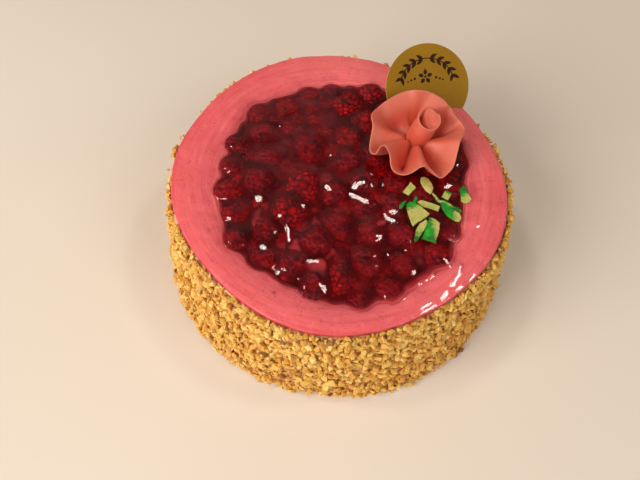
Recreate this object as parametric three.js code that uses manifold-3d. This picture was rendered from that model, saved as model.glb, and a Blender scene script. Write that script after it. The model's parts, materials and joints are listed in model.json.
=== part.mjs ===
// Raspberry cake: a round cream-covered cake with a chopped-nut side, a smooth
// pink raspberry top with a broad rim, a pool of red jelly full of raspberries,
// green-dyed almond chips, a marzipan rose and a plain gold paper disc.
// Millimetres, +Z up, origin at the middle of the flat underside.

import * as THREE from 'three';
import { mergeVertices } from 'three/addons/utils/BufferGeometryUtils.js';
import Module from 'manifold-3d';

const wasm = await Module();
wasm.setup();

// ------------------------------------------------------------ driving sizes
const EDGE_R = 95.15;          // mean radius of the pink top's outer edge
const EDGE_Z = 70.2;           // height of that edge, at its widest
const CREST_Z = 73.0;          // highest line of the pink rim
const SHORE_R = 75.8;          // mean radius where the jelly meets the rim
const SHORE_Z = 69.8;
const FLOOR_Z = 55.2;          // pink floor under the jelly
const BANK = 7.5;              // width of the slope from the shore to the floor
const LAYER = 4.6;             // thickness of the pink layer under the jelly
const JELLY_Z = 70.0;          // level of the jelly between the berries
const GAP = 0.3;               // clearance between pieces that touch
const BASE_R = 109.6;          // mean radius of the nut coat at the bottom
const COAT_PROUD = 3.2;        // how far the nuts stand out past the pink edge
const COAT_T = 5.2;            // mean thickness of the nut coat
const COAT_TOP_Z = 67.6;
const BERRY_TOP_Z = 74.6;      // mean height of the berries' tops
const ROSE = { x: 43.3, y: 25.2, pinch: 75.4, foot: 70.35, sheet: 1.5 };
const TUBE = { x: 48.3, y: 25.9, z: 95.0, rTop: 7.1, rLow: 5.4, wall: 1.3 };
const TAG = { x: 50.6, y: 63.0, z: 81.7, r: 26.0, t: 0.8, tilt: 50, turn: 10 };
const CHIP_T = 1.3;            // thickness of an almond chip
const SEG = 40;                // steps round the cake

// low harmonics of the outlines: order, amplitude in mm, phase in degrees
const EDGE_WAVES = [[1, 0.9, 134], [2, 1.2, -87], [3, 0.4, 3], [4, 0.9, 1], [5, 0.7, -133]];
const SHORE_WAVES = [[1, 4.1, -56], [2, 1.5, 154], [3, 1.5, 102], [4, 1.4, 131], [5, 0.5, 21], [6, 1.1, 148], [7, 0.7, 147]];
const BASE_WAVES = [[1, 1.3, -60], [2, 0.5, -70], [3, 0.5, -50], [5, 0.4, 20]];

// raspberries: x, y, half width
const BERRIES = [
  [-22.8, 61.1, 7.6], [-8.4, 66.0, 6.9], [2.7, 54.8, 8.5], [17.0, 66.0, 8.0], [-33.8, 49.6, 7.6],
  [-52.0, 43.6, 8.3], [-47.0, 27.5, 7.8], [-17.0, 45.5, 8.0], [-62.1, 18.8, 7.5], [-62.9, 3.1, 7.8],
  [-43.6, 11.4, 7.7], [-18.6, 20.4, 9.2], [3.2, 28.3, 8.0], [13.0, 42.2, 7.4], [4.5, 11.8, 8.2],
  [21.7, 14.1, 8.0], [-20.4, -8.2, 9.3], [-46.8, -5.0, 8.3], [-64.1, -13.4, 8.3], [-27.6, -25.6, 8.7],
  [-57.4, -28.6, 7.9], [-54.9, -44.9, 8.0], [-40.1, -38.1, 7.9], [-39.9, -55.6, 8.7], [-22.9, -57.0, 7.9],
  [-12.0, -42.6, 8.0], [-12.0, -70.0, 8.0], [3.2, -64.6, 7.5], [12.5, -76.4, 6.9], [16.9, -53.5, 9.0],
  [35.0, -53.4, 8.7], [28.1, -69.4, 8.3], [54.0, -48.1, 8.5], [60.5, -32.3, 7.6], [0.8, -31.8, 8.3],
  [17.6, -36.2, 8.0], [12.9, -19.8, 8.3], [14.0, -2.5, 8.6], [31.2, -19.0, 8.3], [31.4, -1.9, 8.4],
  [69.0, 15.6, 7.0], [34.3, -35.9, 8.3], [-3.3, -12.2, 7.8], [-32.0, 34.6, 7.0], [63.1, -4.6, 8.4],
  [47.1, -8.0, 7.6], [46.7, -24.6, 7.8],
];

// almond chips: middle x, y, direction in degrees, length, width, point of the leaf (0 blunt, 1 sharp)
const CHIPS = [
  [49.2, -4.2, 112, 11.6, 5.4, 0.35],
  [61.8, -21.6, 132, 15.4, 6.0, 0.55],
  [70.4, -9.6, 101, 11.5, 5.4, 0.45],
  [42.0, -23.0, -58, 12.4, 8.4, 0.15],
  [50.7, -34.4, 75, 14.0, 6.8, 0.20],
  [50.2, -18.0, 163, 12.0, 3.6, 0.50],
  [44.0, -34.6, 64, 14.0, 3.4, 0.70],
];

// the ruffled edge of the rose: angle, radius, height above the pinch
const RUFFLES = [
  [-163, 28.5, 6.4], [-151, 30.0, 5.6], [-142, 25.4, 13.6], [-131, 25.2, 9.6], [-118, 29.0, 4.8], [-102, 28.2, 4.8],
  [-94, 27.0, 8.4], [-86, 27.2, 12.4], [-76, 29.0, 9.6], [-66, 32.0, 6.8], [-50, 30.0, 9.2], [-35, 25.6, 13.4],
  [-22, 24.4, 15.4], [-4, 25.4, 12.8], [14, 25.0, 12.4], [32, 22.8, 15.0], [52, 25.0, 14.2], [78, 25.6, 15.6],
  [94, 24.6, 16.6], [120, 26.7, 12.8], [140, 27.3, 11.2], [166, 28.2, 13.0], [183, 26.8, 9.4],
];

// ------------------------------------------------------------ small helpers
const rad = (d) => (d * Math.PI) / 180;
const lerp = (a, b, t) => a + (b - a) * t;
const waves = (r0, list, th) => list.reduce((s, [k, a, p]) => s + a * Math.cos(k * th - rad(p)), r0);
const edgeR = (th) => waves(EDGE_R, EDGE_WAVES, th);
const shoreR = (th) => waves(SHORE_R, SHORE_WAVES, th);
const baseR = (th) => waves(BASE_R, BASE_WAVES, th);
const hash = (i, k) => {
  const s = Math.sin(i * 12.9898 + k * 78.233) * 43758.5453;
  return s - Math.floor(s);
};

// A closed solid of revolution-like rings: rings[k](theta) gives [radius, height].
// It starts at a point on the axis, goes out over the top and back along the
// underside to a second point on the axis.
function ringSolid(topZ, rings, bottomZ, seg = SEG, flip = false) {
  const pos = [0, 0, topZ];
  for (const ring of rings) {
    for (let i = 0; i < seg; i++) {
      const th = (2 * Math.PI * i) / seg;
      const [r, z] = ring(th);
      pos.push(r * Math.cos(th), r * Math.sin(th), z);
    }
  }
  pos.push(0, 0, bottomZ);
  const last = pos.length / 3 - 1;
  const at = (k, i) => 1 + k * seg + ((i + seg) % seg);
  const idx = [];
  for (let i = 0; i < seg; i++) {
    idx.push(0, at(0, i), at(0, i + 1));
    for (let k = 0; k < rings.length - 1; k++) {
      if (flip) idx.push(at(k, i), at(k + 1, i), at(k, i + 1), at(k, i + 1), at(k + 1, i), at(k + 1, i + 1));
      else idx.push(at(k, i), at(k + 1, i), at(k + 1, i + 1), at(k, i), at(k + 1, i + 1), at(k, i + 1));
    }
    idx.push(last, at(rings.length - 1, i + 1), at(rings.length - 1, i));
  }
  return indexed(pos, idx);
}

// A closed ring-shaped sleeve: sections[k](theta) runs once round its section.
function sleeve(sections, seg = SEG) {
  const pos = [];
  const n = sections.length;
  for (let k = 0; k < n; k++) {
    for (let i = 0; i < seg; i++) {
      const th = (2 * Math.PI * i) / seg;
      const [r, z] = sections[k](th, i);
      pos.push(r * Math.cos(th), r * Math.sin(th), z);
    }
  }
  const at = (k, i) => ((k + n) % n) * seg + ((i + seg) % seg);
  const idx = [];
  for (let k = 0; k < n; k++) {
    for (let i = 0; i < seg; i++) {
      idx.push(at(k, i), at(k + 1, i), at(k + 1, i + 1), at(k, i), at(k + 1, i + 1), at(k, i + 1));
    }
  }
  return indexed(pos, idx);
}

function indexed(pos, idx) {
  const g = new THREE.BufferGeometry();
  g.setAttribute('position', new THREE.Float32BufferAttribute(pos, 3));
  g.setIndex(idx);
  return g;
}

function toSolid(geometry) {
  let g = geometry.clone();
  g.deleteAttribute('normal');
  g.deleteAttribute('uv');
  g = mergeVertices(g, 1e-4);
  const mesh = new wasm.Mesh({
    numProp: 3,
    vertProperties: new Float32Array(g.attributes.position.array),
    triVerts: new Uint32Array(g.index.array),
  });
  return new wasm.Manifold(mesh);
}

function toGeometry(solid) {
  const m = solid.getMesh();
  const pos = [];
  for (let i = 0; i < m.numVert; i++) pos.push(m.vertProperties[i * m.numProp], m.vertProperties[i * m.numProp + 1], m.vertProperties[i * m.numProp + 2]);
  return indexed(pos, Array.from(m.triVerts));
}

// the largest connected body of a solid, so that no loose sliver stays behind
function mainBody(solid) {
  const parts = solid.decompose();
  let best = parts[0];
  for (const p of parts) if (p.volume() > best.volume()) best = p;
  return best;
}

// ------------------------------------------------------------ profile of the pink layer
// radius on the rim: u = 0 at the shore and 1 at the outer edge
const rimR = (th, u) => lerp(shoreR(th), edgeR(th), u);
const TOP_LINE = [
  (th) => [shoreR(th) - BANK, FLOOR_Z],
  (th) => [shoreR(th) - BANK * 0.52, FLOOR_Z + 4.6],
  (th) => [shoreR(th), SHORE_Z],
  (th) => [rimR(th, 0.28), CREST_Z - 0.9],
  (th) => [rimR(th, 0.58), CREST_Z],
  (th) => [rimR(th, 0.93), CREST_Z - 1.2],
  (th) => [rimR(th, 1.0), EDGE_Z],
  (th) => [rimR(th, 0.98), EDGE_Z - 1.9],
];
const UNDER_LINE = [
  (th) => [edgeR(th) - 4.2, EDGE_Z - 2.1],
  (th) => [edgeR(th) - 9.0, EDGE_Z - 6.0],
  (th) => [shoreR(th) - 2.0, FLOOR_Z - LAYER],
];
const below = (f, d) => (th) => { const [r, z] = f(th); return [r + d * 0.5, z - d]; };

// ------------------------------------------------------------ raspberries
// A raspberry is a blunt cone of bumpy rows; every second row is turned by half a step.
const BERRY_ROWS = [
  // polar angle from the tip, radius as a share of the half width
  [30, 0.985], [67, 1.0], [104, 1.0], [143, 0.95],
];
const BERRY_SIDES = 6;
function berry(R, halfHeight, seed) {
  const pos = [0, 0, 0.97];
  BERRY_ROWS.forEach(([phi, share], k) => {
    for (let j = 0; j < BERRY_SIDES; j++) {
      const th = (2 * Math.PI * (j + (k % 2) * 0.5)) / BERRY_SIDES;
      const s = share * (1 - 0.035 * hash(seed * 31 + j, k + 3));
      pos.push(s * Math.sin(rad(phi)) * Math.cos(th), s * Math.sin(rad(phi)) * Math.sin(th), s * Math.cos(rad(phi)));
    }
  });
  pos.push(0, 0, -0.9);
  const n = BERRY_SIDES, last = pos.length / 3 - 1, idx = [];
  const at = (k, j) => 1 + k * n + ((j + n) % n);
  for (let j = 0; j < n; j++) {
    idx.push(0, at(0, j), at(0, j + 1));
    for (let k = 0; k < BERRY_ROWS.length - 1; k++) {
      // the row below is shifted by half a step, forwards or backwards in turn
      if (k % 2 === 0) idx.push(at(k, j), at(k + 1, j), at(k, j + 1), at(k, j + 1), at(k + 1, j), at(k + 1, j + 1));
      else idx.push(at(k, j), at(k + 1, j), at(k + 1, j + 1), at(k, j), at(k + 1, j + 1), at(k, j + 1));
    }
    idx.push(last, at(BERRY_ROWS.length - 1, j + 1), at(BERRY_ROWS.length - 1, j));
  }
  const g = indexed(pos, idx);
  const lean = rad(6 + 26 * hash(seed, 1));
  const way = 2 * Math.PI * hash(seed, 2);
  const turn = new THREE.Matrix4().makeRotationAxis(new THREE.Vector3(-Math.sin(way), Math.cos(way), 0), lean);
  turn.multiply(new THREE.Matrix4().makeRotationZ(2 * Math.PI * hash(seed, 3)));
  g.applyMatrix4(turn);
  g.scale(R, R, halfHeight);
  return g;
}
const berries = BERRIES.map(([x, y, R], i) => {
  const halfHeight = 0.9 * R + 0.9;
  const top = BERRY_TOP_Z + 1.4 * (hash(i, 7) - 0.5) - (R < 7.2 ? 0.8 : 0);
  return { x, y, R, halfHeight, z: top - 0.96 * halfHeight, shape: berry(R, halfHeight, i) };
});
const berryRoom = (b, gap) => {
  const g = b.shape.clone();
  g.scale((b.R + gap) / b.R, (b.R + gap) / b.R, (b.halfHeight + gap) / b.halfHeight);
  g.translate(b.x, b.y, b.z);
  return toSolid(g);
};

// ------------------------------------------------------------ gold disc
const tagNormal = new THREE.Vector3(
  Math.sin(rad(TAG.turn)) * Math.cos(rad(TAG.tilt)),
  -Math.cos(rad(TAG.turn)) * Math.cos(rad(TAG.tilt)),
  Math.sin(rad(TAG.tilt)),
);
function disc(r, t, seg) {
  const g = new THREE.CylinderGeometry(r, r, t, seg, 1);
  g.applyQuaternion(new THREE.Quaternion().setFromUnitVectors(new THREE.Vector3(0, 1, 0), tagNormal));
  g.translate(TAG.x, TAG.y, TAG.z);
  return g;
}
const tagSlot = toSolid(disc(TAG.r + GAP, TAG.t + 2 * GAP, 40));

// ------------------------------------------------------------ cake body
const bodySide = (th, z) => lerp(baseR(th) - COAT_T - 0.6, edgeR(th) - 4.4, Math.min(1, z / 66));
const bodyGeometry = ringSolid(
  FLOOR_Z - LAYER - GAP,
  [
    ...[...UNDER_LINE].reverse().map((f) => below(f, GAP + 0.15)),
    (th) => [bodySide(th, 66), 66],
    (th) => [bodySide(th, 2), 2],
    (th) => [bodySide(th, 0) - 1.6, 0],
  ],
  0, SEG, true,
);

// ------------------------------------------------------------ pink top
let pink = toSolid(ringSolid(FLOOR_Z, [...TOP_LINE, ...UNDER_LINE], FLOOR_Z - LAYER));
for (const b of berries) {
  const th = Math.atan2(b.y, b.x);
  if (Math.hypot(b.x, b.y) + b.R > shoreR(th) - BANK) pink = pink.subtract(berryRoom(b, GAP));
}
pink = mainBody(pink.subtract(tagSlot)).simplify(0.2);

// ------------------------------------------------------------ jelly
let jelly = toSolid(ringSolid(
  JELLY_Z,
  [
    (th) => [shoreR(th) - 0.5, JELLY_Z],
    (th) => [shoreR(th) - BANK * 0.52 - 0.15, FLOOR_Z + 4.6 + 0.42],
    (th) => [shoreR(th) - BANK - 0.1, FLOOR_Z + GAP + 0.03],
  ],
  FLOOR_Z + GAP + 0.03,
));
for (const b of berries) jelly = jelly.subtract(berryRoom(b, GAP));
jelly = mainBody(jelly.subtract(tagSlot)).simplify(0.2);

// ------------------------------------------------------------ nut coat
const COAT_ROWS = 6;
const lump = (th, z, i) => 0.8 * Math.sin(9 * th + 0.21 * z) * Math.cos(0.17 * z + 4 * th) + 1.5 * (hash(i, Math.round(z)) - 0.5);
const coatSections = [];
for (let k = 0; k <= COAT_ROWS; k++) {
  const f = k / COAT_ROWS;
  const z = k === 0 ? 0 : lerp(3, COAT_TOP_Z + 1.0, (k - 1) / (COAT_ROWS - 1));
  coatSections.push((th, i) => [
    lerp(baseR(th), edgeR(th) + COAT_PROUD, Math.min(1, z / 66)) + (k === 0 ? -1.8 : lump(th, z, i)), z]);
}
coatSections.push((th) => [edgeR(th) + 0.9, COAT_TOP_Z + 0.5]);
coatSections.push((th) => [bodySide(th, 66) + GAP + 0.3, COAT_TOP_Z - 0.2]);
coatSections.push((th) => [bodySide(th, 2) + GAP + 0.1, 2]);
coatSections.push((th) => [bodySide(th, 0) - 1.6 + GAP + 0.2, 0]);
const coatGeometry = sleeve(coatSections.reverse(), 44);

// ------------------------------------------------------------ rose
function ruffle(thDeg) {
  const n = RUFFLES.length;
  let a = RUFFLES[n - 1], b = RUFFLES[0], t;
  let d = ((thDeg % 360) + 360) % 360;
  if (d > RUFFLES[n - 1][0]) d -= 360;
  for (let k = 0; k < n - 1; k++) if (d >= RUFFLES[k][0] && d < RUFFLES[k + 1][0]) { a = RUFFLES[k]; b = RUFFLES[k + 1]; }
  if (a === RUFFLES[n - 1]) {
    const span = RUFFLES[0][0] + 360 - a[0];
    t = ((d - a[0] + 360) % 360) / span;
  } else t = (d - a[0]) / (b[0] - a[0]);
  const s = 0.5 - 0.5 * Math.cos(Math.PI * t);
  return [lerp(a[1], b[1], s), lerp(a[2], b[2], s)];
}
function frill() {
  const seg = 54, steps = [0.2, 0.6, 1.0];
  const rings = [];
  const sheetZ = (th, s) => {
    const [, h] = ruffle((th * 180) / Math.PI);
    return ROSE.pinch + h * Math.pow(s, 0.8);
  };
  for (const s of steps) rings.push((th) => [ruffle((th * 180) / Math.PI)[0] * s, sheetZ(th, s) + ROSE.sheet / 2]);
  for (const s of [...steps].reverse()) rings.push((th) => [ruffle((th * 180) / Math.PI)[0] * s, sheetZ(th, s) - ROSE.sheet / 2]);
  const g = ringSolid(ROSE.pinch + ROSE.sheet / 2, rings, ROSE.pinch - ROSE.sheet / 2, seg);
  g.translate(ROSE.x, ROSE.y, 0);
  return g;
}
function lathe(points, seg) {
  const g = new THREE.LatheGeometry(points.map(([r, z]) => new THREE.Vector2(r, z)), seg);
  g.rotateX(Math.PI / 2);
  return g;
}
function roseSolid() {
  const axis = new THREE.Vector3(TUBE.x - ROSE.x, TUBE.y - ROSE.y, TUBE.z - ROSE.pinch);
  const len = axis.length();
  // rolled middle: a cone with an open mouth and a blind bottom
  const roll = lathe([[0, -1], [TUBE.rLow, -1], [TUBE.rLow + 0.2, len * 0.4], [TUBE.rTop, len],
    [TUBE.rTop - TUBE.wall, len], [TUBE.rLow - 0.6, len * 0.5], [0, len * 0.45]], 14);
  roll.applyQuaternion(new THREE.Quaternion().setFromUnitVectors(new THREE.Vector3(0, 0, 1), axis.normalize()));
  roll.translate(ROSE.x, ROSE.y, ROSE.pinch);
  // pressed foot that stands in the jelly
  const foot = lathe([[0, ROSE.foot], [7.0, ROSE.foot], [5.2, ROSE.pinch + 0.6], [0, ROSE.pinch + 0.6]], 12);
  foot.translate(ROSE.x, ROSE.y, 0);
  return mainBody(toSolid(frill()).add(fixed(roll)).add(fixed(foot)));
}
// a lathed shape as a solid, facing outwards whichever way its outline ran
function fixed(g) {
  const s = toSolid(g);
  if (s.volume() > 0) return s;
  const f = g.index ? g : mergeVertices(g);
  const idx = Array.from(f.index.array);
  for (let i = 0; i < idx.length; i += 3) [idx[i + 1], idx[i + 2]] = [idx[i + 2], idx[i + 1]];
  f.setIndex(idx);
  return toSolid(f);
}

// ------------------------------------------------------------ almond chips
// outline of a chip: a leaf between blunt and pointed, long way along x
function chipOutline(L, W, sharp, seed) {
  const pts = [];
  const n = 8;
  for (let i = 0; i < n; i++) {
    const a = (2 * Math.PI * (i + 0.5)) / n;
    const c = Math.cos(a), s = Math.sin(a);
    const px = Math.sign(c) * Math.pow(Math.abs(c), 0.6) * L / 2;
    const pinch = 1 - sharp * Math.pow(Math.abs(px) / (L / 2), 2.2) * 0.75;
    const py = Math.sign(s) * Math.pow(Math.abs(s), 0.6) * (W / 2) * pinch * (0.9 + 0.2 * hash(seed + 90, i));
    pts.push([px, py]);
  }
  return pts;
}
const berryHeight = (x, y) => {
  let z = JELLY_Z;
  for (const b of berries) {
    const d = Math.hypot(x - b.x, y - b.y) / b.R;
    if (d < 1) z = Math.max(z, b.z + b.halfHeight * Math.sqrt(1 - d * d));
  }
  return z;
};
function chip([x, y, way, L, W, sharp], seed) {
  const out = chipOutline(L, W, sharp, seed);
  const c = Math.cos(rad(way)), s = Math.sin(rad(way));
  // the plane through the highest support at both ends of the chip
  const support = (f0, f1) => {
    let z = -1e9;
    for (let f = f0; f <= f1 + 1e-6; f += 0.1) {
      for (const w of [-0.5, 0, 0.5]) {
        const lx = f * L / 2, ly = w * W;
        z = Math.max(z, berryHeight(x + lx * c - ly * s, y + lx * s + ly * c));
      }
    }
    return z;
  };
  let za = support(-1, 0), zb = support(0, 1);
  const lift = 0.35 + Math.max(0, support(-1, 1) - (za + zb) / 2) * 0.5;
  const shape = new THREE.Shape(out.map(([px, py]) => new THREE.Vector2(px, py)));
  const g = new THREE.ExtrudeGeometry(shape, { depth: CHIP_T, bevelEnabled: false, steps: 1 });
  const slope = Math.atan2((zb - za), L * 0.9);
  g.rotateY(-slope);
  g.rotateZ(rad(way));
  g.translate(x, y, (za + zb) / 2 + lift);
  return g;
}

// ------------------------------------------------------------ materials and scene
const finish = (color, roughness, metalness = 0) => new THREE.MeshStandardMaterial({ color, roughness, metalness });
const CREAM = finish(0xe9cfc9, 0.6);
const PINK = finish(0xe4646b, 0.3);
const NUTS = finish(0xcf9f57, 0.75);
const JELLY = finish(0x5c0a14, 0.08);
const BERRY = finish(0x8f0f1c, 0.35);
const MARZIPAN = finish(0xe07c62, 0.5);
const GOLD = finish(0x9a7526, 0.35, 0.8);
const ALMOND = finish(0xb9bd6a, 0.55);

const group = new THREE.Group();
function put(name, geometry, material) {
  let g = geometry.clone();
  g.deleteAttribute('normal');
  g.deleteAttribute('uv');
  g = mergeVertices(g, 1e-4);
  g.computeVertexNormals();
  const mesh = new THREE.Mesh(g, material);
  mesh.name = name;
  group.add(mesh);
  return mesh;
}
const two = (i) => String(i + 1).padStart(2, '0');

put('cake_body', bodyGeometry, CREAM);
put('pink_top', toGeometry(pink), PINK);
put('nut_coat', coatGeometry, NUTS);
put('jelly', toGeometry(jelly), JELLY);
berries.forEach((b, i) => {
  const mesh = put(`raspberry_${two(i)}`, b.shape, BERRY);
  mesh.position.set(b.x, b.y, b.z);
});
put('rose', toGeometry(roseSolid()), MARZIPAN);
put('gold_tag', disc(TAG.r, TAG.t, 40), GOLD);
CHIPS.forEach((c, i) => put(`almond_chip_${i + 1}`, chip(c, i), ALMOND));

export default group;
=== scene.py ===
import bpy, bmesh, json, math
import numpy as np
from mathutils import Matrix, Vector

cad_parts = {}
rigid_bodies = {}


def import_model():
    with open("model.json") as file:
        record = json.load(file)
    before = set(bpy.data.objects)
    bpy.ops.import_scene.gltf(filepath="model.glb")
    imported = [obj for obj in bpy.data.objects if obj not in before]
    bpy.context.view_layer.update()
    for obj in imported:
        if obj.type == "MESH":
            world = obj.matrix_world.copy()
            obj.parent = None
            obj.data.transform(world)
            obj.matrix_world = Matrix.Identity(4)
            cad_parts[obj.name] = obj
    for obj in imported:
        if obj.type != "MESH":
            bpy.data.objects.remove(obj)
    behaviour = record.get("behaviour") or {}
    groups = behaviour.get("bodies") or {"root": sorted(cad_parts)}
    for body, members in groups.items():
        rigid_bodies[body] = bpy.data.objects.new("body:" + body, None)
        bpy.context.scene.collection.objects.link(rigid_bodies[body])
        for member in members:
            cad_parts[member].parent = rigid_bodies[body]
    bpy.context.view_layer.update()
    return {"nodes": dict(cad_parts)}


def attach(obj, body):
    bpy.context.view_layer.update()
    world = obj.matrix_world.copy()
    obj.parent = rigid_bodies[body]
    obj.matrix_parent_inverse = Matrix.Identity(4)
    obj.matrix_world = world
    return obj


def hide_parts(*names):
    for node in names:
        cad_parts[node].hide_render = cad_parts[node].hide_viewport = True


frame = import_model()
MM = 0.001
rng = np.random.default_rng(20260)

# ---------------------------------------------------------------- sizes shared with the CAD, in mm
EDGE_R, EDGE_Z, CREST_Z = 95.15, 70.2, 73.0
SHORE_R, SHORE_Z, FLOOR_Z, BANK = 75.8, 72.3, 55.2, 7.5
LAYER, JELLY_Z, GAP = 4.6, 70.0, 0.3
BASE_R, COAT_PROUD, COAT_T, COAT_TOP_Z = 109.6, 3.2, 5.2, 67.6
BERRY_TOP_Z = 74.6
EDGE_WAVES = [(1, 0.9, 134), (2, 1.2, -87), (3, 0.4, 3), (4, 0.9, 1), (5, 0.7, -133)]
SHORE_WAVES = [(1, 4.1, -56), (2, 1.5, 154), (3, 1.5, 102), (4, 1.4, 131), (5, 0.5, 21), (6, 1.1, 148), (7, 0.7, 147)]
BASE_WAVES = [(1, 1.3, -60), (2, 0.5, -70), (3, 0.5, -50), (5, 0.4, 20)]
TAG = dict(x=50.6, y=63.0, z=81.7, r=26.0, t=0.8, tilt=50, turn=10)
# x, y, half width, redness 0..1
BERRIES = [
    (-22.8, 61.1, 7.6, 0.20), (-8.4, 66.0, 6.9, 0.12), (2.7, 54.8, 8.5, 0.80), (17.0, 66.0, 8.0, 0.65),
    (-33.8, 49.6, 7.6, 0.35), (-52.0, 43.6, 8.3, 0.30), (-47.0, 27.5, 7.8, 0.12), (-17.0, 45.5, 8.0, 0.35),
    (-62.1, 18.8, 7.5, 0.12), (-62.9, 3.1, 7.8, 0.12), (-43.6, 11.4, 7.7, 0.15), (-18.6, 20.4, 9.2, 0.12),
    (3.2, 28.3, 8.0, 0.35), (13.0, 42.2, 7.4, 0.45), (4.5, 11.8, 8.2, 0.12), (21.7, 14.1, 8.0, 0.12),
    (-20.4, -8.2, 9.3, 0.62), (-46.8, -5.0, 8.3, 0.12), (-64.1, -13.4, 8.3, 0.35), (-27.6, -25.6, 8.7, 0.55),
    (-57.4, -28.6, 7.9, 0.30), (-54.9, -44.9, 8.0, 0.12), (-40.1, -38.1, 7.9, 0.15), (-39.9, -55.6, 8.7, 0.12),
    (-22.9, -57.0, 7.9, 0.12), (-12.0, -42.6, 8.0, 0.12), (-12.0, -70.0, 8.0, 0.12), (3.2, -64.6, 7.5, 0.60),
    (12.5, -76.4, 6.9, 0.12), (16.9, -53.5, 9.0, 0.12), (35.0, -53.4, 8.7, 0.30), (28.1, -69.4, 8.3, 0.12),
    (54.0, -48.1, 8.5, 0.50), (60.5, -32.3, 7.6, 0.12), (0.8, -31.8, 8.3, 0.12), (17.6, -36.2, 8.0, 0.35),
    (12.9, -19.8, 8.3, 0.12), (14.0, -2.5, 8.6, 0.12), (31.2, -19.0, 8.3, 0.12), (31.4, -1.9, 8.4, 0.12),
    (69.0, 15.6, 7.0, 0.12), (34.3, -35.9, 8.3, 0.12), (-3.3, -12.2, 7.8, 0.12), (-32.0, 34.6, 7.0, 0.12),
    (63.1, -4.6, 8.4, 0.12), (47.1, -8.0, 7.6, 0.12), (46.7, -24.6, 7.8, 0.12),
]


def waves(r0, lst, th):
    r = np.full_like(np.asarray(th, float), r0)
    for k, a, p in lst:
        r = r + a * np.cos(k * th - math.radians(p))
    return r


def edge_r(th): return waves(EDGE_R, EDGE_WAVES, th)
def shore_mean(th): return waves(SHORE_R, SHORE_WAVES, th)
def base_r(th): return waves(BASE_R, BASE_WAVES, th)
def lerp(a, b, t): return a + (b - a) * t


def hash1(i, k):
    s = math.sin(i * 12.9898 + k * 78.233) * 43758.5453
    return s - math.floor(s)


def round_about(th, at, width):
    """1 at one bearing, fading to both sides."""
    return np.exp(-(np.mod(th - at + np.pi, 2 * np.pi) - np.pi) ** 2 / width ** 2)


def smooth(a, b, x):
    t = np.clip((x - a) / (b - a), 0, 1)
    return t * t * (3 - 2 * t)


def value_noise(p, scale, seed=0):
    """Smooth 3-D value noise in 0..1 for points p (n, 3)."""
    q = np.asarray(p, float) / scale + seed * 17.31
    i = np.floor(q).astype(np.int64)
    f = q - i
    f = f * f * (3 - 2 * f)
    out = 0
    for dx in (0, 1):
        for dy in (0, 1):
            for dz in (0, 1):
                a = i + np.array([dx, dy, dz])
                h = (a[:, 0] * 73856093) ^ (a[:, 1] * 19349663) ^ (a[:, 2] * 83492791) ^ (seed * 2654435761)
                h = (h ^ (h >> 13)) * 1274126177
                h = ((h ^ (h >> 16)) & 0xFFFFFF) / float(0xFFFFFF)
                w = (f[:, 0] if dx else 1 - f[:, 0]) * (f[:, 1] if dy else 1 - f[:, 1]) * (f[:, 2] if dz else 1 - f[:, 2])
                out = out + h * w
    return out


# ---------------------------------------------------------------- berries in plan, and the shore that follows them
def berry_list():
    out = []
    for i, (x, y, R, tone) in enumerate(BERRIES):
        hh = 0.9 * R + 0.9
        top = BERRY_TOP_Z - 0.9 + 2.0 * (hash1(i, 7) - 0.5) - (0.6 if R < 7.2 else 0)
        room = float(shore_mean(math.atan2(y, x))) - math.hypot(x, y)
        top -= 0.8 * float(smooth(17.0, 8.5, room))
        out.append(dict(x=x, y=y, R=R, V=R * 1.40, hh=hh, z=top - 0.96 * hh, tone=tone, i=i))
    return out


NPHI = 96
PHI = np.arange(NPHI) * 2 * np.pi / NPHI


def press_together(bs, grow=0.12):
    """Plan outline of every berry: round, flattened where it is pressed against a neighbour."""
    for b in bs:
        acc = np.full(NPHI, float(b["V"])) ** -8
        for c in bs:
            if c is b:
                continue
            dx, dy = c["x"] - b["x"], c["y"] - b["y"]
            d = math.hypot(dx, dy)
            if d > b["V"] + c["V"] + 2:
                continue
            a = (d * d + b["V"] ** 2 - c["V"] ** 2) / (2 * d) + grow
            cs = np.cos(PHI - math.atan2(dy, dx))
            ok = cs > 0.08
            acc[ok] += (a / cs[ok]) ** -8
        # towards the rim a berry keeps its own round outline
        way = math.atan2(b["y"], b["x"])
        room = float(shore_mean(way)) - math.hypot(b["x"], b["y"])
        cap = 1.16 * b["R"]
        lead = room + 3.5 - cap
        if abs(lead) < cap and room + 3.5 < b["V"] + 3.2:
            cs, sn = np.cos(PHI - way), np.sin(PHI - way)
            ok = cs > 0.05
            acc[ok] += (lead * cs[ok] + np.sqrt(np.maximum(cap ** 2 - (lead * sn[ok]) ** 2, 1.0))) ** -8
        r = acc ** (-1 / 8)
        i = b["i"]
        r = r * (1 + 0.025 * np.cos(2 * PHI + 6.28 * hash1(i, 11)) + 0.02 * np.cos(3 * PHI + 6.28 * hash1(i, 12)))
        # no berry reaches past the pool's edge
        for t in np.linspace(4.0, 13.0, 19):
            px, py = b["x"] + t * np.cos(PHI), b["y"] + t * np.sin(PHI)
            over = np.hypot(px, py) > shore_mean(np.arctan2(py, px)) + 3.8
            r = np.where(over, np.minimum(r, t), r)
        b["out"] = (np.roll(r, 1) + 2 * r + np.roll(r, -1)) / 4
    return bs


def outline_at(b, phi):
    return np.interp(np.mod(phi, 2 * np.pi), np.append(PHI, 2 * np.pi), np.append(b["out"], b["out"][0]))


berries = press_together(berry_list())


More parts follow.
